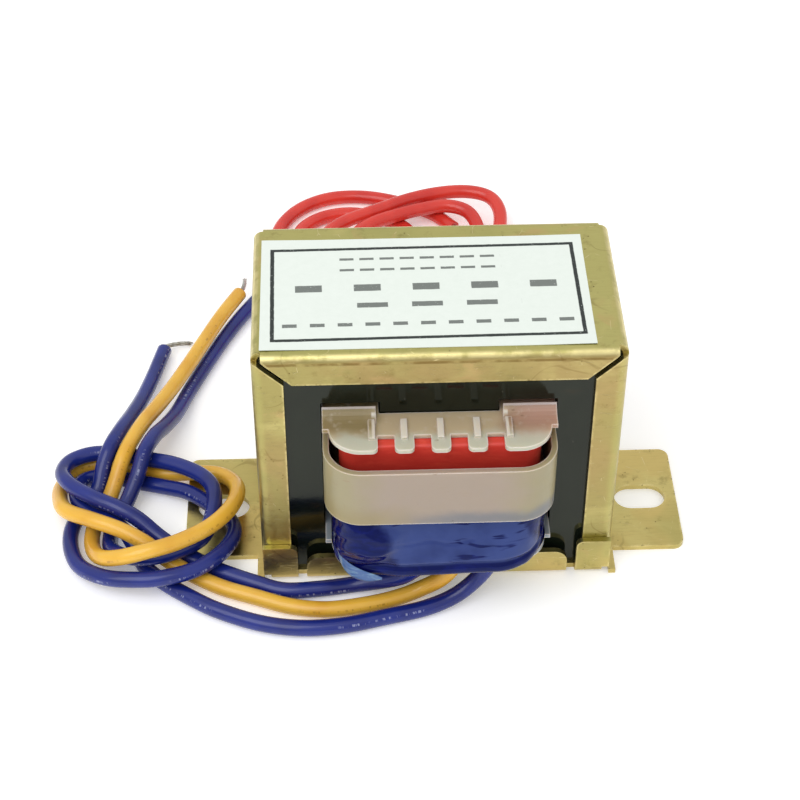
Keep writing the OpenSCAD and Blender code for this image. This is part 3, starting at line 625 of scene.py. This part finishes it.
def core_steel():
    """Dark glossy varnish over the stamped faces and edges of the laminations."""
    s = Shader("core_steel", rgb(12, 17, 12), IOR=1.45, Specular_Tint=(0.8, 0.84, 0.7, 1.0))
    s.paint(rgb(22, 27, 20), s.patches(0.35, 0.7, 0.12, 4.0, distortion=0.5))
    brown = s.patches(0.58, 0.78, 0.3, 5.0, 0.65, at=s.stretched(0.4, 1, 1.6, turn=-0.4))
    s.paint(rgb(44, 32, 20), brown, 0.5)
    speck = s.band(s.cells(0.8), 0.12, 0.05)
    s.paint(rgb(150, 146, 134), speck, s.patches(0.6, 0.66, 0.25), 0.7)
    s.roughness(0.03, 0.12, 0.6, 4.0)
    s.bump(s.noise(0.45), 0.02)
    s.bump(s.noise(4.0, 2.0), 0.003)
    return s.done()


def soft_plastic(name, colour, weight, *radii):
    """A plastic that lets some light in, as deep as the radii in millimetres."""
    return Shader(
        name, colour, IOR=1.5, Subsurface_Weight=weight,
        Subsurface_Radius=tuple(radius * MM for radius in radii), Subsurface_Scale=1.0,
    )


def milky(name, colour):
    """The moulded plastic of the bobbin and the shrouds."""
    return soft_plastic(name, colour, 0.5, 2.4, 1.9, 1.3)


def finish_milky(s, rim_light_share):
    """Dirt, painted bright rims of light through the edges, gloss and waviness, which all the
    moulded plastic has.
    """
    dirt = s.band(s.cells(0.5, at=s.stretched(0.6, 1, 1.6)), 0.13, 0.05)
    s.paint(rgb(120, 92, 62), dirt, s.patches(0.56, 0.64, 0.23), 0.6)
    # painted light: the edges are painted bright, for light shining through the thin plastic
    s.paint(rgb(236, 222, 212), s.edges(0.35), rim_light_share)
    s.roughness(0.22, 0.22, 0.8)
    s.bump(s.noise(0.35), 0.06)
    s.bump(s.noise(3.0, 2.0), 0.006)
    return s.done()


def bobbin_plastic():
    """The bobbin: painted shade and core reflection beside the core, a painted pink of the red
    tape's light showing through, pale grey wings, painted rib highlights and painted blue-grey
    shade low down.
    """
    s = milky("bobbin_plastic", rgb(188, 169, 137))
    x, y, z = s.axis("X"), s.off(s.axis("Y"), CORE_Y), s.axis("Z")
    ripple = s.ripple(0.22, 5.0)
    s.paint(rgb(190, 190, 172), s.band(s.moved(y, ripple), *WING_Y))
    # painted shade and reflection of the dark core, on the flange beside the core
    beside = s.band(s.moved(s.math("ABSOLUTE", x), ripple), 8.5, 12.0)
    s.paint(rgb(138, 122, 82), beside, s.band(s.moved(y, ripple, 0.5), 22.0, 19.0), 0.9)
    # painted pink of the red tape's light showing through the plastic, at the right of the
    # flange
    blush = s.band(s.moved(x, ripple), 7.0, 15.0)
    s.paint(rgb(202, 152, 144), blush, s.band(y, 24.0, 18.0), 0.55)
    s.paint(rgb(208, 196, 180), s.patches(0.55, 0.7, 0.5, 4.0), 0.3)
    # painted highlight on the tops of the ribs
    rib_highlight = s.product(s.band(z, RIB_Z - 0.3, RIB_Z), s.band(z, RIB_Z + 0.35, RIB_Z + 0.1))
    rib_highlight = s.product(rib_highlight, s.band(s.math("ABSOLUTE", x), RIB_HALF_X, RIB_HALF_X - 0.2))
    s.paint(rgb(226, 216, 202), rib_highlight, 0.8)
    # painted shade and reflection of the blue tape: low down the bobbin is painted blue-grey
    s.paint(rgb(132, 142, 150), s.band(z, *LOW_SHADE_Z))
    return finish_milky(s, 0.8)


def shroud_plastic():
    """The shroud: cream, warmer at its ends, low down yellow at left, and low down at right a
    painted blue-grey of the blue tape's light showing through.
    """
    s = milky("shroud_plastic", rgb(160, 145, 130))
    x, z = s.axis("X"), s.axis("Z")
    ripple = s.ripple(0.16, 8.0)
    s.paint(rgb(155, 146, 113), s.band(s.moved(s.math("ABSOLUTE", x), ripple), 8.0, 17.0))
    low_left = s.band(s.moved(x, ripple), 2.0, -12.0)
    s.paint(rgb(148, 134, 92), s.band(s.moved(z, ripple, 0.4), 27.0, 23.0), low_left, 0.7)
    # painted blue-grey of the blue tape's light coming through the plastic, low at the right
    tape_light_right = s.band(s.moved(x, ripple), -9.0, 4.0)
    s.paint(rgb(110, 114, 122), s.band(s.moved(z, ripple, 0.3), 25.6, 23.2), tape_light_right, 0.8)
    mark = s.cells(0.13, at=s.stretched(1, 1, 4, turn=0.25), feature="DISTANCE_TO_EDGE")
    mark = s.band(mark, 0.01, 0.002)
    s.paint(rgb(150, 128, 100), mark, s.patches(0.55, 0.62, 0.4), 0.4)
    return finish_milky(s, 0.7)


def film(name, deep, pale, gloss, ior):
    """Polyester tape: glossy, with fine creases whose ridges get a painted sheen in paler
    strips.
    """
    s = Shader(name, deep, Roughness=gloss, IOR=ior)
    creased = s.stretched(0.6, 0.6, 1.8, turn=FILM_SLANT)
    crease_and_sheen = s.noise(0.5, 4.0, 0.6, at=creased, distortion=0.8)
    # painted sheen: the ridges of the creases are painted paler
    s.paint(pale, s.band(crease_and_sheen, 0.4, 0.75))
    s.paint(deep, s.patches(0.5, 0.7, 0.16, 2.0), 0.5)
    s.bump(crease_and_sheen, FILM_RELIEF)
    fine = s.noise(1.6, at=s.stretched(0.7, 0.7, 2.2, turn=FILM_SLANT))
    s.bump(fine, FILM_RELIEF * 0.2)
    return s


def blue_tape():
    """The tape of the secondary: deep blue, with a painted reflection over the pad, a paler zone
    for the white floor mirrored in the glossy film.
    """
    s = film("blue_tape", rgb(6, 9, 70), rgb(14, 20, 92), 0.1, 1.45)
    x, z = s.axis("X"), s.axis("Z")
    lean = s.product(s.math("SUBTRACT", z, PALE_LEAN_Z), PALE_LEAN)
    across = s.math("ADD", s.moved(x, s.ripple(0.25, 4.0)), lean)
    above = s.math("SUBTRACT", z, s.product(x, PAD_SLOPE))
    # painted reflection: the paler zone where the glossy film would mirror the white floor
    painted_reflection = s.product(s.band(across, *PALE_LEFT), s.band(across, *PALE_RIGHT))
    painted_reflection = s.product(painted_reflection, s.band(above, *PALE_BOTTOM))
    folds = s.patches(0.64, 0.58, 0.35, 2.0, at=s.stretched(0.35, 0.35, 2.0), distortion=0.4)
    s.paint(rgb(54, 67, 122), painted_reflection, folds, s.patches(1.0, 0.35, 0.12))
    s.set("Specular Tint", (0.32, 0.44, 0.62, 1.0))
    return s.done()


def copper():
    """Enamelled wire, in turns that lie one above another."""
    s = Shader("copper", rgb(170, 84, 44), Metallic=1.0, Roughness=0.3)
    turns = s.node("ShaderNodeTexWave", s.mm, bands_direction="Z")
    turns.inputs["Scale"].default_value = 0.6
    s.paint(rgb(200, 120, 70), s.noise(0.6))
    s.bump(turns.outputs["Fac"], 0.2)
    return s.done()


def label_paper():
    """White paper with a plain black frame, and plain bars where the print was."""
    s = Shader("label_paper", rgb(220, 228, 220), Roughness=0.55, Specular_IOR_Level=0.35)
    low, high = box_mm("label")
    turned = s.node("ShaderNodeMapping", s.mm, vector_type="TEXTURE")
    turned.inputs["Location"].default_value = (*(low[:2] + high[:2]) / 2, 0)
    turned.inputs["Rotation"].default_value = (0, 0, radians(LABEL_TURN))
    split = s.node("ShaderNodeSeparateXYZ", turned.outputs[0])
    wobble = s.product(s.math("SUBTRACT", s.noise(0.8, 2.0), 0.5), 0.12)
    x = s.math("ADD", split.outputs["X"], wobble)
    y = s.math("ADD", split.outputs["Y"], wobble)

    def block(centre_x, centre_y, half_x, half_y):
        """1 inside a rectangle of the label and 0 outside."""
        inside_x = s.band(s.off(x, centre_x), half_x + INK_BLUR, half_x - INK_BLUR)
        inside_y = s.band(s.off(y, centre_y), half_y + INK_BLUR, half_y - INK_BLUR)
        return s.product(inside_x, inside_y)

    within = [half - FRAME_LINE for half in FRAME_HALF]
    ink = s.math("SUBTRACT", block(*FRAME_MIDDLE, *FRAME_HALF), block(*FRAME_MIDDLE, *within))
    for row_y, half_y, start, dash, pitch, count in LABEL_ROWS:
        half_row = pitch * count / 2
        place = s.math("FRACT", s.math("DIVIDE", s.math("SUBTRACT", x, start), pitch))
        dashes = s.band(place, dash / pitch, (dash - DASH_BLUR) / pitch)
        row = s.product(block(start + half_row, row_y, half_row, half_y), dashes)
        ink = s.math("MAXIMUM", ink, s.product(row, DASH_SHARE))
    s.paint(rgb(230, 237, 230), s.noise(0.7, 5.0, 0.7))
    s.paint(rgb(44, 50, 48), ink, s.patches(0.18, 0.36, 3.5, 2.0))
    s.bump(s.noise(1.2, 4.0), 0.012)
    s.bump(s.noise(0.12, 1.0), 0.1)
    return s.done()


def pvc(name, base, dark, print_colour, print_share):
    """Insulation: soft plastic with faint worn print, scuffs and small dents."""
    s = soft_plastic(name, base, 0.12, 0.6, 0.4, 0.3)
    s.paint(dark, s.patches(0.35, 0.75, 0.14, 2.0))
    around = s.value("around")
    line = s.band(s.off(around, PRINT_PLACE), 0.03, 0.015)
    run = s.node("ShaderNodeCombineXYZ", s.value("along"), around, 0.0).outputs[0]
    marks = s.patches(0.52, 0.62, 1.9, 3.0, 0.7, at=run)
    words = s.patches(0.5, 0.56, 0.06, 0.0, at=run)
    s.paint(print_colour, line, marks, words, print_share)
    scuff = s.patches(0.64, 0.72, 1.6, 4.0, 0.7)
    s.paint(print_colour, scuff, s.patches(0.56, 0.64, 0.2), 0.1)
    s.roughness(0.18, 0.1, 0.5, 2.0)
    s.bump(s.noise(0.3, 1.0), 0.03)
    s.bump(s.noise(2.5, 2.0), 0.002)
    return s.done()


def tinned_copper():
    """Bare tinned strands, a little tarnished."""
    s = Shader("tinned_copper", rgb(196, 196, 190), Metallic=1.0, Roughness=0.34)
    s.paint(rgb(150, 146, 134), s.patches(0.45, 0.7, 1.2))
    s.bump(s.noise(6.0, 2.0), 0.01)
    return s.done()


MATERIALS = {
    "plated_steel": plated_steel(),
    "core_steel": core_steel(),
    "bobbin_plastic": bobbin_plastic(),
    "shroud_plastic": shroud_plastic(),
    "copper": copper(),
    "red_tape": film("red_tape", rgb(206, 60, 50), rgb(216, 70, 56), 0.24, 1.5).done(),
    "blue_tape": blue_tape(),
    "pale_film": film("pale_film", rgb(70, 100, 150), rgb(124, 156, 178), 0.2, 1.45).done(),
    "label_paper": label_paper(),
    "blue_insulation": pvc(
        "blue_insulation", rgb(24, 40, 124), rgb(18, 30, 104), rgb(190, 196, 226), 0.4
    ),
    "yellow_insulation": pvc(
        "yellow_insulation", rgb(230, 180, 66), rgb(218, 162, 50), rgb(150, 100, 36), 0.45
    ),
    "red_insulation": pvc(
        "red_insulation", rgb(216, 62, 50), rgb(200, 48, 40), rgb(140, 26, 20), 0.3
    ),
    "tinned_copper": tinned_copper(),
}


def dress_nodes():
    """Gives each CAD node the material of its slot."""
    slots = {part["node"]: part["material_slot"] for part in frame["record"]["subparts"]}
    for name, piece in frame["nodes"].items():
        piece.data.materials.clear()
        piece.data.materials.append(MATERIALS[slots[name]])


SOFT_EDGES = {
    "base_plate": 0.25,
    "upper_bracket": 0.25,
    "bobbin": 0.18,
    "shroud_front": 0.3,
    "shroud_rear": 0.3,
}
SOFT_ANGLE = 35


def soften(name, width):
    """Rounds the sharp edges of a CAD node."""
    bevel = frame["nodes"][name].modifiers.new("edge", "BEVEL")
    bevel.width = width * MM
    bevel.segments = 2
    bevel.limit_method = "ANGLE"
    bevel.angle_limit = radians(SOFT_ANGLE)


# ---------- tape ----------

# Share of the way round that each stretch of a coil's outline takes: half the front,
# corner, side, corner, back, corner, side, corner, half the front
OUTLINE_SHARES = np.array([13, 12, 37, 8, 25, 8, 37, 12, 13])
WRAP_COLUMNS = 460
WRAP_TURN = np.arange(WRAP_COLUMNS) / WRAP_COLUMNS
TAPE = 0.3

# The red tape: corners, the bobbin's tube that it is turned in to, and its gaps from the
# CAD's box and from the turns under it
PRIMARY_CORNER = 3.0
TUBE_HALF_X, TUBE_HALF_Y, TUBE_CORNER = 10.75, 17.0, 0.55
PRIMARY_LEVELS = 24
TOP_GAP, LOW_GAP, TURN_GAP = 0.02, 0.05, 0.03
TURN_IN = (0.3, 0.6, 1.0)

# The blue tape: the bobbin's flange, past whose edge the padded joints bulge down
SECONDARY_CORNER = 5.0
FLANGE_HALF_X, FLANGE_HALF_Y, FLANGE_CORNER = 17.8, 24.55, 5.2
SECONDARY_LEVELS = 44
PAD_CORNER_LEFT, PAD_CORNER_RIGHT = 6.5, 8.5
PAD_Y, PAD_BOTTOM, PAD_ROUND = -27.0, 9.75, 1.0
PAD_SINK = 0.25
# Depth, height and width of the groove above the rolled lower edge, then of the broken
# crease, with the stretch of the front that it crosses
GROOVE, GROOVE_RISE, GROOVE_WIDTH = 0.45, 1.4, 0.5
CREASE, CREASE_Z, CREASE_WIDTH = 0.16, 17.2, 0.22
CREASE_X, CREASE_HALF_X = -1, 6.5

# The free end of the film
TAPE_END_LINE = [
    [-17.0, -21.2, 12.8], [-16.4, -23.4, 12.0], [-15.0, -25.3, 11.3],
    [-12.6, -26.4, 10.7], [-9.6, -26.7, 10.3],
]
TAPE_END_STEP = 0.35
TAPE_END_WIDTH = 2.9
TAPE_END_CURL = 0.35
TAPE_END_THICK = 0.06
TAPE_END_AWAY = np.array([-0.35, -0.94, 0])


def rounded_outline(half_x, front, back, radius):
    """Points of a rounded rectangle, once round from the middle of the front."""
    flat, side = half_x - radius, back - front - 2 * radius
    lines = (
        ((0, front), (flat, 0)),
        ((half_x, front + radius), (0, side)),
        ((flat, back), (-2 * flat, 0)),
        ((-half_x, back - radius), (0, -side)),
        ((-flat, front), (flat, 0)),
    )
    centres = (
        (flat, front + radius, -90), (flat, back - radius, 0),
        (-flat, back - radius, 90), (-flat, front + radius, 180),
    )
    out = np.zeros((WRAP_COLUMNS, 2))
    begin = 0.0
    for k, end in enumerate(np.cumsum(OUTLINE_SHARES) / OUTLINE_SHARES.sum()):
        chosen = (WRAP_TURN >= begin) & (WRAP_TURN < end)
        t = ((WRAP_TURN[chosen] - begin) / (end - begin))[:, None]
        if k % 2 == 0:
            start, way = lines[k // 2]
            out[chosen] = np.array(start) + t * np.array(way)
        else:
            centre_x, centre_y, first = centres[k // 2]
            turn = np.radians(first + 90 * t)
            circle = np.hstack([np.cos(turn), np.sin(turn)])
            out[chosen] = (centre_x, centre_y) + radius * circle
        begin = end
    return out


def outward(outline):
    """Unit vectors that point away from a closed outline."""
    ahead = np.roll(outline, -1, axis=0) - np.roll(outline, 1, axis=0)
    ahead /= np.linalg.norm(ahead, axis=1)[:, None]
    return np.column_stack([ahead[:, 1], -ahead[:, 0]])


def beyond(points, half_x, half_y, radius):
    """How far each point lies outside a rounded rectangle about the origin."""
    over = np.abs(points) - (half_x - radius, half_y - radius)
    outside = np.linalg.norm(np.maximum(over, 0), axis=1)
    return outside + np.minimum(over.max(axis=1), 0) - radius


def creases(points, scale, seed):
    """Sharp-edged soft noise for each point, about -1 to 1."""
    shift = Vector((seed, 0, 0))
    return np.array([2 * abs(noise.noise(Vector(p) * scale + shift)) - 0.4 for p in points])


def ring_at(outline, z):
    """An outline as a ring of points at one height, or at a height for each point."""
    return np.column_stack([outline, np.broadcast_to(z, WRAP_COLUMNS)])


def tape_wrap(name, replaced, slot_name, rings):
    """A closed band of tape from rings of points that run round the coil."""
    faces = grid_faces(len(rings), WRAP_COLUMNS, close_rows=True)
    settle(add_mesh(name, np.vstack(rings), faces), slot_name, replaced)


def primary_wrap():
    """The red tape over the primary coil, turned in over the top of the turns."""
    low, high = box_mm("primary_tape")
    under = box_mm("primary_winding")[1][2] + TURN_GAP
    top, bottom = high[2] - TOP_GAP, low[2] + LOW_GAP
    outline = rounded_outline(high[0], low[1], high[1], PRIMARY_CORNER)
    tube_line = rounded_outline(
        TUBE_HALF_X, CORE_Y - TUBE_HALF_Y, CORE_Y + TUBE_HALF_Y, TUBE_CORNER
    )
    away = outward(outline)
    inner = outline - (TAPE + TURN_GAP) * away
    turned_in = [outline + (tube_line - outline) * share for share in TURN_IN]
    rings = []
    for z in np.linspace(bottom, top - 0.25, PRIMARY_LEVELS):
        sink = 0.06 + 0.05 * creases(ring_at(outline, z) * (1, 1, 0.35), 0.16, 7)
        rings.append(ring_at(outline - sink[:, None] * away, z))
    rings += [ring_at(outline - 0.12 * away, top - 0.08), ring_at(outline - 0.3 * away, top)]
    rings += [ring_at(line, top) for line in turned_in]
    rings += [ring_at(line, under) for line in turned_in[::-1]]
    rings += [ring_at(inner, under), ring_at(inner, bottom)]
    tape_wrap("primary_tape_wrap", "primary_tape", "red_tape", rings)


def pad_outline(half_x, back):
    """Outline of the lower edge of the tape, tighter at its left corner."""
    left = rounded_outline(half_x, PAD_Y, back, PAD_CORNER_LEFT)
    right = rounded_outline(half_x, PAD_Y, back, PAD_CORNER_RIGHT)
    return left + (right - left) * step_between(left[:, 0], -4, 6)[:, None]


def secondary_wrap():
    """The blue tape over the secondary coil and the padded joints in front of it."""
    ring_bottom, top = [corner[2] for corner in box_mm("secondary_winding")]
    half_x, back, _ = box_mm("secondary_tape")[1]
    ring = rounded_outline(half_x, 2 * CORE_Y - back, back, SECONDARY_CORNER)
    pad = pad_outline(half_x, back)
    pad = ring + (pad - ring) * step_between(-pad[:, 1], 0, 12)[:, None]
    away = outward(pad)
    # 1 on the front; how far out of the flange's edge, and 1 where the tape hangs past it
    front = step_between(-pad[:, 1], 14, 24)
    out = beyond(pad - (0, CORE_Y), FLANGE_HALF_X, FLANGE_HALF_Y, FLANGE_CORNER)
    hang = step_between(out, 0.15, 1.5)
    lowest = PAD_BOTTOM + PAD_SLOPE * (pad[:, 0] + half_x)
    bottom = ring_bottom + (lowest - ring_bottom) * hang
    rings = []
    for t in np.linspace(0, 1, SECONDARY_LEVELS):
        z = top + (bottom + PAD_ROUND - top) * t
        # the tape leans out to the pad, and bulges early at the left of the front
        left = step_between(-pad[:, 0] - 3 * t, 3, 8) * front
        lean = 0.35 * t + 0.65 * step_between(t, -0.25, 0.9)
        early = step_between(t, -0.3, 0.5) - 0.3 * step_between(t, 0.55, 1.05)
        place = ring + (pad - ring) * (lean + (early - lean) * left)[:, None]
        flat = ring_at(place, z)
        right = step_between(place[:, 0], 11, 15) * front
        sink = PAD_SINK + 0.05 * creases(flat * (1, 1, 0.6), 0.12, 3)
        sink += 0.32 * left * creases(flat * (1, 1, 1.6), 0.2, 11)
        sink += 0.1 * right * creases(flat, 0.4, 5)
        above = (z - bottom - PAD_ROUND - GROOVE_RISE) / GROOVE_WIDTH
        sink += GROOVE * front * np.exp(-above**2)
        across = (z - CREASE_Z + 0.3 * np.sin(place[:, 0] * 0.9)) / CREASE_WIDTH
        middle = np.abs(place[:, 0] - CREASE_X) < CREASE_HALF_X
        sink += CREASE * front * np.exp(-across**2) * middle
        rings.append(ring_at(place - sink[:, None] * away, z))
    edge = rings[-1]
    for turn in np.radians([15, 30, 45, 60, 75, 90]):
        place = edge[:, :2] - (PAD_ROUND * (1 - cos(turn)) * hang)[:, None] * away
        rings.append(ring_at(place, edge[:, 2] - PAD_ROUND * sin(turn) * hang))
    lower_z = rings[-1][:, 2]
    under = pad - np.maximum(out - 0.2, 0)[:, None] * away
    inside = ring - (TAPE + 0.2) * outward(ring)
    rings += [ring_at(under, lower_z), ring_at(under, np.maximum(lower_z, ring_bottom))]
    rings += [ring_at(inside, ring_bottom), ring_at(inside, top)]
    tape_wrap("secondary_tape_wrap", "secondary_tape", "blue_tape", rings)


def tape_end():
    """The pale free end of the film at the lower left of the pad."""
    line = smooth_line(TAPE_END_LINE, TAPE_END_STEP)
    share = np.clip(np.linspace(0, 1, len(line)), 0.02, 0.98)
    width = TAPE_END_WIDTH * np.sin(pi * share) ** 0.6
    front = []
    for across in np.linspace(-0.5, 0.5, 7):
        curl = TAPE_END_CURL * (0.25 - across**2)
        front.append(line + curl * TAPE_END_AWAY + np.outer(across * width, (0, 0, 1)))
    front = np.array(front)
    piece = thin_sheet("secondary_tape_end", front - TAPE_END_THICK * TAPE_END_AWAY, front)
    settle(piece, "blue_tape", material="pale_film")


# ---------- label and studio ----------

LABEL_COLUMNS, LABEL_LINES = 60, 32
LABEL_UNDER = 0.005
CORNER_LIFT = 0.12
# Where the lift starts and ends; 1 is the middle of a side and 1.41 is a corner
LIFT_FROM, LIFT_TO = 1.15, 1.42

FLOOR_REACH, FLOOR_Z = 3000, -0.02
FLOOR_GLOW = 0.22

SURROUND = {"From Min": 0.0, "From Max": 0.5, "To Min": 0.6, "To Max": 0.9}
KEY_PLACE, KEY_TARGET = (-0.35, -0.45, 0.75), (0, 0, 0.02)
KEY_SIZE, KEY_POWER = 0.7, 3.5


def label_sheet():
    """The paper label: a thin sheet with slightly lifted corners."""
    low, high = box_mm("label")
    xs = np.linspace(low[0], high[0], LABEL_COLUMNS)
    ys = np.linspace(low[1], high[1], LABEL_LINES)
    grid_x, grid_y = np.meshgrid(xs, ys)
    middle, half = (low + high) / 2, (high - low) / 2
    far = np.hypot((grid_x - middle[0]) / half[0], (grid_y - middle[1]) / half[1])
    lift = CORNER_LIFT * step_between(far, LIFT_FROM, LIFT_TO)
    under = np.stack([grid_x, grid_y, low[2] + LABEL_UNDER + lift], axis=-1)
    over = np.stack([grid_x, grid_y, high[2] + lift], axis=-1)
    settle(thin_sheet("label_sheet", under, over, smooth=False), "label_paper", "label")


def floor():
    """A plain white floor, which glows a little so that its shadows stay light."""
    material = bpy.data.materials.new("floor")
    material.use_nodes = True
    shader = material.node_tree.nodes["Principled BSDF"]
    shader.inputs["Base Color"].default_value = rgb(250, 250, 250)
    shader.inputs["Roughness"].default_value = 0.9
    shader.inputs["Emission Color"].default_value = (1, 1, 1, 1)
    shader.inputs["Emission Strength"].default_value = FLOOR_GLOW
    square = ((-1, -1), (1, -1), (1, 1), (-1, 1))
    corners = [[x * FLOOR_REACH, y * FLOOR_REACH, FLOOR_Z] for x, y in square]
    piece = add_mesh("floor", corners, [(0, 1, 2, 3)])
    piece.data.materials.append(material)


def key_light():
    """One soft square light, up at the front left."""
    data = bpy.data.lights.new("key", "AREA")
    data.shape = "SQUARE"
    data.size = KEY_SIZE
    data.energy = KEY_POWER
    light = bpy.data.objects.new("key", data)
    bpy.context.scene.collection.objects.link(light)
    light.location = KEY_PLACE
    way = Vector(KEY_TARGET) - Vector(KEY_PLACE)
    light.rotation_euler = way.to_track_quat("-Z", "Y").to_euler()


def surround():
    """An even white surround that is dimmer at the horizon."""
    world = bpy.data.worlds.new("studio")
    bpy.context.scene.world = world
    world.use_nodes = True
    tree = world.node_tree
    way = tree.nodes.new("ShaderNodeTexCoord").outputs["Generated"]
    split = tree.nodes.new("ShaderNodeSeparateXYZ")
    tree.links.new(way, split.inputs[0])
    level = tree.nodes.new("ShaderNodeMapRange")
    tree.links.new(split.outputs["Z"], level.inputs["Value"])
    for socket, value in SURROUND.items():
        level.inputs[socket].default_value = value
    background = tree.nodes["Background"]
    background.inputs["Color"].default_value = (1, 1, 1, 1)
    tree.links.new(level.outputs[0], background.inputs["Strength"])


photo_camera()
for each_lead in LEADS:
    lead(*each_lead)
dress_nodes()
for soft_node, soft_width in SOFT_EDGES.items():
    soften(soft_node, soft_width)
primary_wrap()
secondary_wrap()
tape_end()
label_sheet()
floor()
surround()
key_light()
bpy.context.scene.view_settings.view_transform = "Standard"
